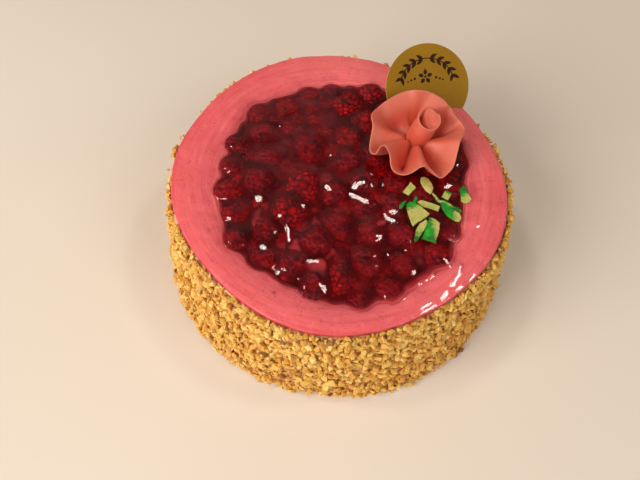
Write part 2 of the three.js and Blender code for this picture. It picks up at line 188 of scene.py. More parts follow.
def shore_line():
    """Edge of the pool by angle: it bulges round each berry and draws in between them."""
    n = 720
    ang = np.arange(n) * 2 * np.pi / n
    reach = np.zeros(n)
    f = np.arange(1440) * 2 * np.pi / 1440
    for b in berries:
        r = outline_at(b, f)
        px, py = b["x"] + r * np.cos(f), b["y"] + r * np.sin(f)
        k = np.floor(np.mod(np.arctan2(py, px), 2 * np.pi) / (2 * np.pi) * n).astype(int) % n
        np.maximum.at(reach, k, np.hypot(px, py))
    d = reach - 2.5 - shore_mean(ang)
    lump = np.where(d > -7, np.clip(d, -3.6, 1.2), -1.6)

    def soften(v, sigma):
        m = int(3 * sigma) + 1
        w = np.exp(-0.5 * (np.arange(-m, m + 1) / sigma) ** 2)
        return np.convolve(np.concatenate([v[-m:], v, v[:m]]), w / w.sum(), mode="valid")

    lump = soften(lump, 3.4)
    P = np.stack([np.cos(ang) * SHORE_R, np.sin(ang) * SHORE_R, 0 * ang], -1)
    return shore_mean(ang) + lump + 1.1 * (value_noise(P, 6.0, 95) - 0.5) + 0.5 * (value_noise(P, 2.2, 96) - 0.5)


SHORE_LINE = shore_line()


def shore_r(th):
    n = len(SHORE_LINE)
    q = np.mod(np.asarray(th, float), 2 * np.pi) / (2 * np.pi) * n
    return np.interp(q, np.arange(n + 1), np.append(SHORE_LINE, SHORE_LINE[0]))


# ---------------------------------------------------------------- mesh helpers
def make(name, verts, faces, mat, smooth_shade=True, attrs=None, scale=MM):
    """faces: one (n, 3) or (n, 4) array, or a list of such arrays."""
    if not isinstance(faces, (list, tuple)):
        faces = [faces]
    faces = [np.asarray(f, np.int32) for f in faces if len(f)]
    V = (np.asarray(verts, np.float64) * scale).astype(np.float32)
    me = bpy.data.meshes.new(name)
    me.vertices.add(len(V))
    me.vertices.foreach_set("co", V.ravel())
    loops = np.concatenate([f.ravel() for f in faces])
    totals = np.concatenate([np.full(len(f), f.shape[1], np.int32) for f in faces])
    starts = np.concatenate([[0], np.cumsum(totals)[:-1]]).astype(np.int32)
    me.loops.add(len(loops))
    me.loops.foreach_set("vertex_index", loops)
    me.polygons.add(len(totals))
    me.polygons.foreach_set("loop_start", starts)
    me.polygons.foreach_set("use_smooth", np.full(len(totals), bool(smooth_shade)))
    me.update(calc_edges=True)
    me.validate()
    for key, val in (attrs or {}).items():
        a = me.attributes.new(key, "FLOAT", "POINT")
        a.data.foreach_set("value", np.asarray(val, np.float32))
    ob = bpy.data.objects.new(name, me)
    bpy.context.scene.collection.objects.link(ob)
    for m in (mat if isinstance(mat, (list, tuple)) else [mat]):
        me.materials.append(m)
    return ob


def ring_faces(nr, nt, close_first=None, close_last=None):
    """quads between nr rings of nt points; optional fans to single points."""
    k = np.arange(nr - 1)[:, None]
    i = np.arange(nt)[None, :]
    j = (i + 1) % nt
    q = np.stack([k * nt + i, (k + 1) * nt + i, (k + 1) * nt + j, k * nt + j], -1).reshape(-1, 4)
    tris = []
    i = np.arange(nt)
    j = (i + 1) % nt
    if close_first is not None:
        tris.append(np.stack([np.full(nt, close_first), i, j], -1))
    if close_last is not None:
        tris.append(np.stack([np.full(nt, close_last), (nr - 1) * nt + j, (nr - 1) * nt + i], -1))
    return [q] + tris


def tri_count(ob):
    return sum(len(p.vertices) - 2 for p in ob.data.polygons)


# ---------------------------------------------------------------- material helpers
class Mat:
    def __init__(self, name):
        self.m = bpy.data.materials.new(name)
        self.m.use_nodes = True
        self.t = self.m.node_tree
        self.b = self.t.nodes["Principled BSDF"]
        self.co = self.t.nodes.new("ShaderNodeTexCoord").outputs["Object"]

    def n(self, kind, **kw):
        x = self.t.nodes.new("ShaderNode" + kind)
        for k, v in kw.items():
            if hasattr(x, k):
                setattr(x, k, v)
        return x

    def link(self, a, b):
        self.t.links.new(a, b)

    def put(self, sock, v):
        s = self.b.inputs[sock]
        if hasattr(v, "links") or isinstance(v, bpy.types.NodeSocket):
            self.link(v, s)
        else:
            s.default_value = v

    def scaled(self, sx, sy, sz):
        mp = self.n("Mapping")
        mp.inputs["Scale"].default_value = (sx, sy, sz)
        self.link(self.co, mp.inputs["Vector"])
        return mp.outputs[0]

    def noise(self, scale, detail=3.0, rough=0.5, dist=0.0, co=None):
        x = self.n("TexNoise")
        x.inputs["Scale"].default_value = scale
        x.inputs["Detail"].default_value = detail
        x.inputs["Roughness"].default_value = rough
        x.inputs["Distortion"].default_value = dist
        self.link(co or self.co, x.inputs["Vector"])
        return x.outputs["Fac"]

    def voronoi(self, scale, feature="F1", out="Distance", rand=1.0, co=None):
        x = self.n("TexVoronoi")
        x.feature = feature
        x.inputs["Scale"].default_value = scale
        x.inputs["Randomness"].default_value = rand
        self.link(co or self.co, x.inputs["Vector"])
        return x.outputs[out]

    def ramp(self, fac, stops, interp="LINEAR"):
        x = self.n("ValToRGB")
        x.color_ramp.interpolation = interp
        el = x.color_ramp.elements
        while len(el) < len(stops):
            el.new(0.5)
        for e, (p, c) in zip(el, stops):
            e.position = p
            e.color = (*c, 1) if hasattr(c, "__len__") and len(c) == 3 else ((c, c, c, 1) if not hasattr(c, "__len__") else c)
        self.link(fac, x.inputs["Fac"])
        return x.outputs["Color"]

    def mix(self, fac, a, b, mode="MIX"):
        x = self.n("Mix", data_type="RGBA", blend_type=mode)
        x.data_type = "RGBA"
        x.blend_type = mode
        f, ca, cb = x.inputs[0], x.inputs[6], x.inputs[7]
        for s, v in ((f, fac), (ca, a), (cb, b)):
            if isinstance(v, bpy.types.NodeSocket):
                self.link(v, s)
            elif s is f:
                s.default_value = v
            else:
                s.default_value = (*v, 1)
        return x.outputs[2]

    def math(self, op, a, b=0.0, c=0.0, clamp=False):
        x = self.n("Math")
        x.operation = op
        x.use_clamp = clamp
        for s, v in zip(x.inputs, (a, b, c)):
            if isinstance(v, bpy.types.NodeSocket):
                self.link(v, s)
            else:
                s.default_value = v
        return x.outputs[0]

    def attr(self, name):
        x = self.n("Attribute")
        x.attribute_name = name
        return x.outputs["Fac"]

    def island(self):
        return self.n("NewGeometry").outputs["Random Per Island"]

    def bump(self, height, strength, dist, normal=None):
        x = self.n("Bump")
        x.inputs["Strength"].default_value = strength
        x.inputs["Distance"].default_value = dist
        self.link(height, x.inputs["Height"])
        if normal is not None:
            self.link(normal, x.inputs["Normal"])
        return x.outputs["Normal"]


def srgb(r, g, b):
    def f(c):
        c = c / 255
        return c / 12.92 if c <= 0.04045 else ((c + 0.055) / 1.055) ** 2.4
    return (f(r), f(g), f(b))


# ---------------------------------------------------------------- materials
def mat_pink():
    M = Mat("pink_mousse")
    u = M.attr("across")       # 0 at the jelly's edge, 1 at the lip
    big = M.noise(26, 3, 0.55)
    tone = M.math("ADD", u, M.math("MULTIPLY", M.math("SUBTRACT", big, 0.5), 0.22))
    # darker towards the lip's edge, partly the cream's own darker line and partly painted shade, and darkest on the
    # lip's underside (across past 1), which is painted shade
    base = M.ramp(M.math("MULTIPLY", tone, 0.8), [(0.0, srgb(222, 88, 94)), (0.22, srgb(231, 100, 103)), (0.50, srgb(230, 95, 98)), (0.72, srgb(230, 92, 96)), (0.84, srgb(224, 80, 88)), (0.95, srgb(196, 52, 64))])
    # faint spatula streaks running round the rim: noise in (angle, radius)
    sep = M.n("SeparateXYZ")
    M.link(M.co, sep.inputs[0])
    ang = M.math("ARCTAN2", sep.outputs[1], sep.outputs[0])
    rr = M.math("SQRT", M.math("ADD", M.math("MULTIPLY", sep.outputs[0], sep.outputs[0]),
                               M.math("MULTIPLY", sep.outputs[1], sep.outputs[1])))
    comb = M.n("CombineXYZ")
    M.link(M.math("SINE", ang), comb.inputs[0])
    M.link(M.math("COSINE", ang), comb.inputs[2])
    M.link(M.math("MULTIPLY", rr, 240.0), comb.inputs[1])
    streak = M.noise(2.4, 5, 0.62, 0.4, comb.outputs[0])
    col = M.mix(M.ramp(streak, [(0.50, 0.0), (0.68, 0.44)]), base, srgb(204, 56, 70))
    col = M.mix(M.ramp(streak, [(0.30, 0.30), (0.43, 0.0)]), col, srgb(246, 136, 132))
    mottle = M.noise(190, 4, 0.65, 0.5)
    col = M.mix(M.ramp(mottle, [(0.52, 0.0), (0.72, 0.26)]), col, srgb(206, 60, 74))
    col = M.mix(M.ramp(mottle, [(0.28, 0.24), (0.44, 0.0)]), col, srgb(248, 142, 138))
    # painted light and sheen: the far side of the ring is made a little paler
    far = M.math("ADD", M.math("MULTIPLY", sep.outputs[1], 10.0), M.math("MULTIPLY", sep.outputs[0], 5.0))
    col = M.mix(M.ramp(far, [(0.40, 0.0), (0.95, 0.38)]), col, srgb(252, 136, 127))
    # cloudy bruises of darker fruit near the jelly
    cloud = M.noise(75, 4, 0.6, 0.3)
    near = M.ramp(u, [(0.0, 0.95), (0.16, 0.45), (0.42, 0.10), (0.60, 0.0)])
    col = M.mix(M.math("MULTIPLY", M.ramp(cloud, [(0.42, 0.0), (0.66, 0.75)]), near), col, srgb(178, 38, 62))
    # seed specks and a few larger bits of fruit
    sp = M.voronoi(640, "F1", "Distance")
    gate = M.noise(150, 2, 0.5)
    speck = M.math("MULTIPLY", M.ramp(sp, [(0.10, 1.0), (0.34, 0.0)]), M.ramp(gate, [(0.46, 0.0), (0.66, 1.0)]))
    col = M.mix(M.math("MULTIPLY", speck, 0.72), col, srgb(136, 18, 40))
    sp2 = M.voronoi(100, "F1", "Distance")
    gate2 = M.noise(42, 2, 0.5)
    fleck = M.math("MULTIPLY", M.ramp(sp2, [(0.06, 1.0), (0.15, 0.0)]), M.ramp(gate2, [(0.50, 0.0), (0.58, 1.0)]))
    col = M.mix(M.math("MULTIPLY", fleck, 0.75), col, srgb(132, 14, 32))
    # painted light: paler where jelly lies over it, standing in for light the jelly keeps from the cream, which the
    # jelly then darkens again
    col = M.mix(M.ramp(u, [(0.0, 0.85), (0.035, 0.60), (0.085, 0.0)]), col, srgb(255, 150, 146))
    M.put("Base Color", col)
    M.put("Subsurface Weight", 0.15)
    M.b.inputs["Subsurface Radius"].default_value = (1.0, 0.22, 0.18)
    M.put("Subsurface Scale", 0.0030)
    M.put("Roughness", M.ramp(M.noise(60, 3, 0.5), [(0.3, 0.44), (0.7, 0.60)]))
    # wet where jelly has run over the rim, at the front right and in spots elsewhere
    side = M.math("SUBTRACT", M.math("MULTIPLY", sep.outputs[0], 11.0), M.math("MULTIPLY", sep.outputs[1], 9.0))
    wet = M.math("ADD", side, M.math("MULTIPLY", M.math("SUBTRACT", M.noise(38, 2, 0.5), 0.5), 1.6))
    M.put("Coat Weight", M.ramp(wet, [(0.10, 0.08), (0.62, 0.86)]))
    M.put("Coat Roughness", 0.06)
    M.put("Coat IOR", 1.45)
    nrm = M.bump(streak, 0.20, 0.0010)
    nrm = M.bump(M.noise(420, 4, 0.6), 0.34, 0.0005, nrm)
    M.put("Normal", nrm)
    return M.m


def mat_cream():
    M = Mat("pale_cream")
    n = M.noise(90, 4, 0.6)
    M.put("Base Color", M.ramp(n, [(0.3, srgb(205, 160, 145)), (0.6, srgb(222, 184, 166)), (0.8, srgb(232, 200, 182))]))
    M.put("Roughness", M.ramp(M.noise(300, 2, 0.5), [(0.3, 0.45), (0.7, 0.65)]))
    M.put("Subsurface Weight", 0.2)
    M.b.inputs["Subsurface Radius"].default_value = (1.0, 0.6, 0.45)
    M.put("Subsurface Scale", 0.003)
    M.put("Normal", M.bump(M.noise(420, 4, 0.6), 0.5, 0.0008))
    return M.m


def mat_coat_cream():
    """Cream under the nuts: soaked golden brown by the crumbs, lilac-pink where it stays bare near the top."""
    M = Mat("coat_cream")
    n = M.noise(260, 4, 0.6)
    gold = M.ramp(n, [(0.3, srgb(204, 146, 78)), (0.6, srgb(224, 172, 100)), (0.8, srgb(236, 192, 120))])
    sep = M.n("SeparateXYZ")
    M.link(M.co, sep.inputs[0])
    high = M.ramp(M.math("MULTIPLY", sep.outputs[2], 14.0), [(0.55, 0.12), (0.90, 0.62)])
    patch = M.math("MULTIPLY", M.ramp(M.noise(85, 3, 0.55), [(0.46, 0.0), (0.58, 1.0)]), high)
    M.put("Base Color", M.mix(patch, gold, srgb(226, 176, 172)))
    M.put("Roughness", M.ramp(M.noise(300, 2, 0.5), [(0.3, 0.5), (0.7, 0.7)]))
    M.put("Subsurface Weight", 0.15)
    M.b.inputs["Subsurface Radius"].default_value = (1.0, 0.6, 0.35)
    M.put("Subsurface Scale", 0.002)
    M.put("Normal", M.bump(M.noise(520, 4, 0.6), 0.5, 0.0008))
    return M.m


def mat_nuts(name, light, skin):
    M = Mat(name)
    isl = M.island()
    stops = [(207, 148, 58), (215, 160, 66), (223, 170, 75), (231, 182, 89), (239, 200, 115)]
    if light:
        stops = [(221, 168, 74), (228, 178, 84), (234, 188, 94), (240, 198, 107), (245, 211, 127)]
    base = M.ramp(isl, [(k / 4, srgb(*c)) for k, c in enumerate(stops)])
    grain = M.noise(620, 4, 0.6)
    base = M.mix(M.ramp(grain, [(0.38, 0.26), (0.60, 0.0)]), base, srgb(204, 144, 66))
    base = M.mix(M.ramp(M.noise(380, 2, 0.5), [(0.55, 0.0), (0.72, 0.30)]), base, srgb(248, 224, 168))
    # toasted edges and brown skin on some bits
    isl2 = M.math("FRACT", M.math("MULTIPLY", isl, 37.7))
    patch = M.noise(280, 2, 0.5)
    sk = M.math("MULTIPLY", M.ramp(isl2, [(1 - skin - 0.03, 0.0), (1 - skin, 1.0)]), M.ramp(patch, [(0.44, 0.0), (0.52, 1.0)]))
    base = M.mix(M.math("MULTIPLY", sk, 0.85), base, srgb(126, 66, 28))
    isl3 = M.math("FRACT", M.math("MULTIPLY", isl, 91.3))
    base = M.mix(M.ramp(isl3, [(0.88, 0.0), (0.92, 0.45)]), base, srgb(190, 118, 48))
    M.put("Base Color", base)
    M.put("Roughness", M.ramp(grain, [(0.3, 0.46), (0.7, 0.68)]))
    M.put("Subsurface Weight", 0.38)
    M.b.inputs["Subsurface Radius"].default_value = (1.0, 0.66, 0.30)
    M.put("Subsurface Scale", 0.0022)
    M.put("Specular IOR Level", 0.35)
    M.put("Normal", M.bump(M.noise(1500, 3, 0.6), 0.30, 0.0004))
    return M.m


def mat_berry():
    M = Mat("raspberry_flesh")
    cell = M.attr("cell")      # 0 in the middle of a drupelet, 1 in the groove
    tone = M.attr("tone")      # 0 dark, 1 bright red
    dark = M.ramp(cell, [(0.0, srgb(82, 0, 16)), (0.50, srgb(98, 0, 20)), (0.74, srgb(130, 8, 28)), (0.90, srgb(176, 42, 58)), (1.0, srgb(158, 26, 42))])
    vivid = M.ramp(cell, [(0.0, srgb(236, 20, 20)), (0.45, srgb(220, 8, 14)), (0.72, srgb(172, 4, 12)), (0.90, srgb(112, 1, 12)), (1.0, srgb(90, 0, 12))])
    glow = M.math("ADD", tone, M.ramp(M.noise(95, 2, 0.5), [(0.42, -0.25), (0.66, 0.55)]), clamp=True)
    col = M.mix(glow, dark, vivid)
    col = M.mix(M.ramp(M.noise(120, 2, 0.5), [(0.38, 0.60), (0.54, 0.0)]), col, srgb(48, 0, 16))
    # milky cloud over the berry: partly cream mixed into the jelly, partly painted reflection haze, most at the back
    # left
    cloud = M.math("MULTIPLY", M.attr("veil_haze"), M.ramp(M.noise(120, 2, 0.5, 0.3), [(0.30, 0.30), (0.68, 0.66)]))
    col = M.mix(cloud, col, srgb(130, 50, 64))
    M.put("Base Color", col)
    M.put("Roughness", M.ramp(cell, [(0.0, 0.25), (1.0, 0.5)]))
    M.put("Subsurface Weight", 0.20)
    M.b.inputs["Subsurface Radius"].default_value = (1.0, 0.10, 0.10)
    M.put("Subsurface Scale", 0.0012)
    M.put("Normal", M.bump(M.noise(1300, 2, 0.5), 0.12, 0.0003))
    return M.m


def mat_pulp():
    """Crushed fruit between the berries: dark red, cloudy where cream has mixed in and where painted reflection haze
    lies, pink where the cream shows.
    """
    M = Mat("fruit_pulp")
    milk_haze, cream = M.attr("milk_haze"), M.attr("cream")
    n = M.noise(120, 4, 0.6, 0.4)
    base = M.ramp(n, [(0.30, srgb(64, 0, 16)), (0.48, srgb(92, 0, 20)), (0.62, srgb(122, 4, 26)), (0.80, srgb(138, 14, 36))])
    cloud = M.ramp(M.noise(110, 2, 0.5, 0.3), [(0.30, srgb(110, 54, 62)), (0.60, srgb(130, 74, 80)), (0.80, srgb(146, 94, 98))])
    col = M.mix(milk_haze, base, cloud)
    cr = M.ramp(M.noise(240, 3, 0.6), [(0.30, srgb(206, 96, 100)), (0.70, srgb(240, 140, 138))])
    col = M.mix(cream, col, cr)
    M.put("Base Color", col)
    M.put("Roughness", M.ramp(n, [(0.3, 0.40), (0.7, 0.60)]))
    M.put("Subsurface Weight", 0.15)
    M.b.inputs["Subsurface Radius"].default_value = (1.0, 0.2, 0.2)
    M.put("Subsurface Scale", 0.0015)
    M.put("Normal", M.bump(M.noise(700, 3, 0.6), 0.3, 0.0005))
    return M.m


def mat_jelly():
    M = Mat("red_jelly")
    thin = M.attr("thin")      # 1 where the film runs out over the cream
    body = M.ramp(M.noise(60, 3, 0.5), [(0.3, (0.96, 0.32, 0.40)), (0.7, (0.99, 0.44, 0.52))])
    M.put("Base Color", M.mix(thin, body, (1.0, 0.97, 0.97)))
    M.put("Transmission Weight", 1.0)
    M.put("IOR", 1.33)
    M.put("Roughness", M.ramp(M.noise(140, 3, 0.5), [(0.35, 0.02), (0.7, 0.06)]))
    M.put("Normal", M.bump(M.noise(260, 3, 0.55), 0.05, 0.0004))
    v = M.n("VolumeAbsorption")
    v.inputs["Color"].default_value = (0.90, 0.08, 0.14, 1)
    v.inputs["Density"].default_value = 245.0
    M.link(v.outputs[0], M.t.nodes["Material Output"].inputs["Volume"])
    return M.m


def mat_marzipan():
    M = Mat("coral_marzipan")
    painted_shade, thin = M.attr("painted_shade"), M.attr("thin")
    base = M.ramp(M.noise(70, 4, 0.6), [(0.3, srgb(199, 84, 60)), (0.6, srgb(207, 92, 66)), (0.85, srgb(214, 102, 76))])
    # painted shade and bounced light: darker, redder in the creases, the pockets, the roll's hollow and under the rose
    base = M.mix(M.math("MULTIPLY", painted_shade, 0.52, clamp=True), base, srgb(204, 58, 36))
    # painted light: paler along the thin free edges, standing in for light shining through them
    base = M.mix(M.math("MULTIPLY", thin, 0.34), base, srgb(228, 142, 122))
    M.put("Base Color", base)
    M.put("Roughness", M.ramp(M.noise(500, 3, 0.6), [(0.3, 0.40), (0.7, 0.55)]))
    M.put("Subsurface Weight", 0.65)
    M.b.inputs["Subsurface Radius"].default_value = (1.0, 0.34, 0.20)
    M.put("Subsurface Scale", 0.0045)
    M.put("Sheen Weight", 0.12)
    M.put("Sheen Roughness", 0.4)
    nrm = M.bump(M.noise(240, 3, 0.5), 0.10, 0.0006)
    M.put("Normal", M.bump(M.noise(2200, 2, 0.6), 0.10, 0.0002, nrm))
    return M.m


def mat_gold():
    M = Mat("gold_card")
    M.put("Base Color", M.ramp(M.noise(26, 3, 0.5), [(0.3, srgb(133, 95, 13)), (0.7, srgb(149, 109, 19))]))
    M.put("Metallic", 0.45)
    M.put("Specular IOR Level", 0.2)
    M.put("Roughness", M.ramp(M.noise(900, 2, 0.5), [(0.3, 0.40), (0.7, 0.52)]))
    M.put("Normal", M.bump(M.noise(1800, 2, 0.5), 0.08, 0.0002))
    return M.m


def mat_card():
    M = Mat("card_edge")
    M.put("Base Color", M.ramp(M.noise(500, 3, 0.6), [(0.3, srgb(220, 196, 150)), (0.7, srgb(236, 214, 172))]))
    M.put("Roughness", M.ramp(M.noise(900, 2, 0.5), [(0.3, 0.6), (0.7, 0.8)]))
    return M.m


def mat_ink():
    M = Mat("brown_print")
    M.put("Base Color", M.ramp(M.noise(600, 2, 0.5), [(0.3, srgb(34, 16, 6)), (0.7, srgb(52, 28, 12))]))
    M.put("Specular IOR Level", 0.12)
    M.put("Roughness", M.ramp(M.noise(900, 2, 0.5), [(0.3, 0.5), (0.7, 0.65)]))
    return M.m


def mat_almond():
    M = Mat("dyed_almond")
    dye = M.attr("dye")
    body = M.ramp(M.noise(420, 4, 0.6), [(0.3, srgb(192, 168, 92)), (0.6, srgb(206, 186, 114)), (0.8, srgb(216, 198, 134))])
    wash = M.mix(M.ramp(M.noise(170, 4, 0.65), [(0.40, 0.0), (0.66, 0.75)]), body, srgb(136, 178, 52))
    edge = M.math("ADD", dye, M.math("MULTIPLY", M.math("SUBTRACT", M.noise(430, 5, 0.7), 0.5), 1.3))
    green = M.ramp(M.noise(240, 3, 0.6), [(0.35, srgb(6, 92, 14)), (0.55, srgb(12, 140, 22)), (0.75, srgb(40, 170, 34))])
    M.put("Base Color", M.mix(M.ramp(edge, [(0.30, 0.0), (0.46, 0.45), (0.62, 1.0)]), wash, green))
    M.put("Roughness", M.ramp(M.noise(700, 3, 0.5), [(0.3, 0.40), (0.7, 0.58)]))
    M.put("Subsurface Weight", 0.12)
    M.b.inputs["Subsurface Radius"].default_value = (1.0, 0.9, 0.4)
    M.put("Subsurface Scale", 0.001)
    M.put("Normal", M.bump(M.noise(1100, 3, 0.6), 0.25, 0.0003))
    return M.m


PINK, CREAM, COATCREAM, BERRY, PULP = mat_pink(), mat_cream(), mat_coat_cream(), mat_berry(), mat_pulp()
NUTS, NUTS2 = mat_nuts("chopped_nuts", False, 0.07), mat_nuts("nut_granules", True, 0.03)
JELLY, MARZ, GOLD, CARD, INK, ALMOND = mat_jelly(), mat_marzipan(), mat_gold(), mat_card(), mat_ink(), mat_almond()


def place(ob, *nodes, slot):
    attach(ob, "root")
    if nodes:
        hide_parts(*nodes)
    return ob


# ---------------------------------------------------------------- camera
def camera():
    e, roll, D = math.radians(60.90), math.radians(3.31), 394.54
    back = Vector((0, -math.cos(e), math.sin(e)))
    xc = Vector((1, 0, 0))
    yc = back.cross(xc)
    xr = math.cos(roll) * xc + math.sin(roll) * yc
    yr = -math.sin(roll) * xc + math.cos(roll) * yc
    loc = Vector((-9.595, -2.66, 0)) + back * D
    cam = bpy.data.cameras.new("camera")
    cam.sensor_fit = "HORIZONTAL"
    cam.sensor_width = 36.0
    cam.lens = 580.0 / 640.0 * 36.0
    cam.clip_start = 0.01
    cam.clip_end = 20
    ob = bpy.data.objects.new("camera", cam)
    m = Matrix((xr, yr, back)).transposed().to_4x4()
    m.translation = loc * MM
    ob.matrix_world = m
    bpy.context.scene.collection.objects.link(ob)
    bpy.context.scene.camera = ob


camera()


# ---------------------------------------------------------------- wet facets
EYE = np.array([-9.6, -194.5, 344.7])
SPOT_LAMPS = [((-0.43, 0.10, 0.90), 1600.0), ((0.44, 0.13, 0.89), 1600.0)]


def facing_slope(x, y, z, lamp):
    """Slope at which a wet surface throws the lamp's light up towards the eye."""
    d = np.array(lamp[0]) / np.linalg.norm(lamp[0])
    L = np.array([0, 0, 50.0]) + d * lamp[1]
    p = np.array([x, y, z])
    h = (EYE - p) / np.linalg.norm(EYE - p) + (L - p) / np.linalg.norm(L - p)
    return np.array([-h[0] / h[2], -h[1] / h[2]])


def rise_along(P, lamp):
    """Heights along a line on a surface that faces the lamp all the way."""
    S = np.array([facing_slope(x, y, 74.0, lamp) for x, y in P])
    return np.concatenate([[0.0], np.cumsum(((S[1:] + S[:-1]) / 2 * np.diff(P, axis=0)).sum(1))])


def facets_along(line, half, height, lamp=None, under=None):
    """Small flat facets strung along a line on the surface, each tilted to face the nearer lamp."""
    P = np.asarray(line, float)
    if len(P) > 1:
        seg = np.linalg.norm(np.diff(P, axis=0), axis=1)
        t = np.concatenate([[0], np.cumsum(seg)])
        n = max(2, int(round(t[-1] / (1.25 * half))) + 1)
        u = np.linspace(0, t[-1], n)
        P = np.stack([np.interp(u, t, P[:, 0]), np.interp(u, t, P[:, 1])], -1)

    def h(x, y):
        return float(height(np.array([[math.atan2(y, x)]]), np.array([[math.hypot(x, y)]]))[0, 0])

    mx, my = P[len(P) // 2]
    e = 0.8
    own = np.array([(h(mx + e, my) - h(mx - e, my)) / (2 * e), (h(mx, my + e) - h(mx, my - e)) / (2 * e)])
    own_z = np.array([h(x, y) for x, y in P])
    if lamp is None and under is not None and len(P) > 2:
        # the lamp whose facets stray least from the surface along the line
        lamp = min(SPOT_LAMPS, key=lambda q: np.ptp(rise_along(P, q) - own_z))
    elif lamp is None:
        lamp = min(SPOT_LAMPS, key=lambda q: np.linalg.norm(facing_slope(mx, my, 74.0, q) - own))
    S = np.array([facing_slope(x, y, z, lamp) for (x, y), z in zip(P, own_z)])
    run = np.zeros(len(P))
    for k in range(1, len(P)):
        run[k] = run[k - 1] + float((S[k - 1] + S[k]) @ (P[k] - P[k - 1])) / 2
    dev = run - own_z
    out, a = [], 0
    while a < len(P):
        b = a + 1
        while b < len(P) and np.ptp(dev[a:b + 1]) < (1.6 if under is None else 2.1):
            b += 1
        lift = 0.10 - dev[a:b].mean()
        if under is not None:
            ring = np.array([(f * math.cos(q), f * math.sin(q)) for f in (0.0, 0.6 * half, 1.1 * half) for q in np.arange(0, 6.28, 0.785)])
            for k in range(a, b):
                low = under(P[k, 0] + ring[:, 0], P[k, 1] + ring[:, 1]) + 0.14 - (run[k] + lift + ring @ S[k])
                lift += max(0.0, min(float(low.max()), 1.3))
        for k in range(a, b):
            t = P[min(k + 1, b - 1)] - P[max(k - 1, a)]
            t = t / max(np.linalg.norm(t), 1e-6)
            out.append((P[k, 0], P[k, 1], run[k] + lift, S[k, 0], S[k, 1], half, t[0], t[1]))
        a = b
    return out


def with_facets(th, r, Z, facets):
    x, y = r * np.cos(th), r * np.sin(th)
    wob = value_noise(np.stack([x, y, 0 * x], -1).reshape(-1, 3), 2.3, 91).reshape(x.shape) - 0.5
    W, S = np.zeros(x.shape), np.zeros(x.shape)
    for fx, fy, fz, sx, sy, a, tx, ty in facets:
        dx, dy = x - fx, y - fy
        d = np.hypot(dx, dy) * (1 + 0.45 * wob)
        w = 1 - smooth(1.0 * a, 2.3 * a, d)
        dome = 0.5 * (0.036 / a) * (dx * dx + dy * dy - (dx * tx + dy * ty) ** 2)
        W += w
        S += w * (fz + sx * dx + sy * dy - dome)
    k = np.minimum(W, 1)
    return np.where(W > 1e-6, Z * (1 - k) + k * S / np.maximum(W, 1e-6), Z)


# ---------------------------------------------------------------- pink top
def rim_height(th, r):
    """Height of the cream: the bank of the pool, the broad rim, and the fall towards the lip."""
    s, mean, e = shore_r(th), shore_mean(th), edge_r(th)
    u = (r - mean) / (e - mean)
    t = 1 + (r - s) / BANK
    tc = np.clip(t, 0, 1)
    bank = FLOOR_Z + (SHORE_Z - FLOOR_Z) * (1 - (1 - tc) ** (1.5 + 0.5 * round_about(th, -0.92, 0.45))) + np.maximum(t - 1, 0) * 15.0
    uc = np.clip(u, 0, 1)
    rim = SHORE_Z + (CREST_Z - SHORE_Z) * np.sin(np.minimum(1, uc / 0.52) * np.pi / 2) ** 0.95 \
        - 0.95 * np.clip((uc - 0.5) / 0.5, 0, 1) ** 2 + np.minimum(u, 0) * 4.0
    z = -np.log(np.exp(-2.4 * (bank - 70)) + np.exp(-2.4 * (rim - 70))) / 2.4 + 70
    # the knife's soft waves along the rim and the unevenness across it
    c, sn = np.cos(th), np.sin(th)
    on = smooth(-0.25, 0.12, u)
    big = value_noise(np.stack([c * r, sn * r, 0 * r], -1).reshape(-1, 3), 17, 3).reshape(r.shape) - 0.5
    mid = value_noise(np.stack([c * r, sn * r, 0 * r], -1).reshape(-1, 3), 6.5, 5).reshape(r.shape) - 0.5
    ridge = value_noise(np.stack([c * 11, sn * 11, r / 2.1], -1).reshape(-1, 3), 1.0, 8).reshape(r.shape) - 0.5
    return z + on * (1.2 * big + 0.50 * mid + 0.24 * ridge * (1 - 0.5 * smooth(0.8, 1.0, u)))


# streaks of wet shine along the rim at the front right
RIM_WET = [([(65.1, -54.4), (63.9, -59.3), (62.2, -62.8), (60.7, -65.7)], 0.78), ([(57.0, -69.4), (55.6, -71.4), (54.1, -73.0)], 0.95),
           ([(51.9, -77.0), (48.9, -79.0), (45.4, -81.2), (43.2, -82.8)], 0.85), ([(76.2, -29.0)], 1.1)]
RIM_FACETS = [f for line, half in RIM_WET for f in facets_along(line, half, rim_height, SPOT_LAMPS[1])]


def pink_surface(th, r):
    return with_facets(th, r, rim_height(th, r), RIM_FACETS)


LIP_U = 0.945


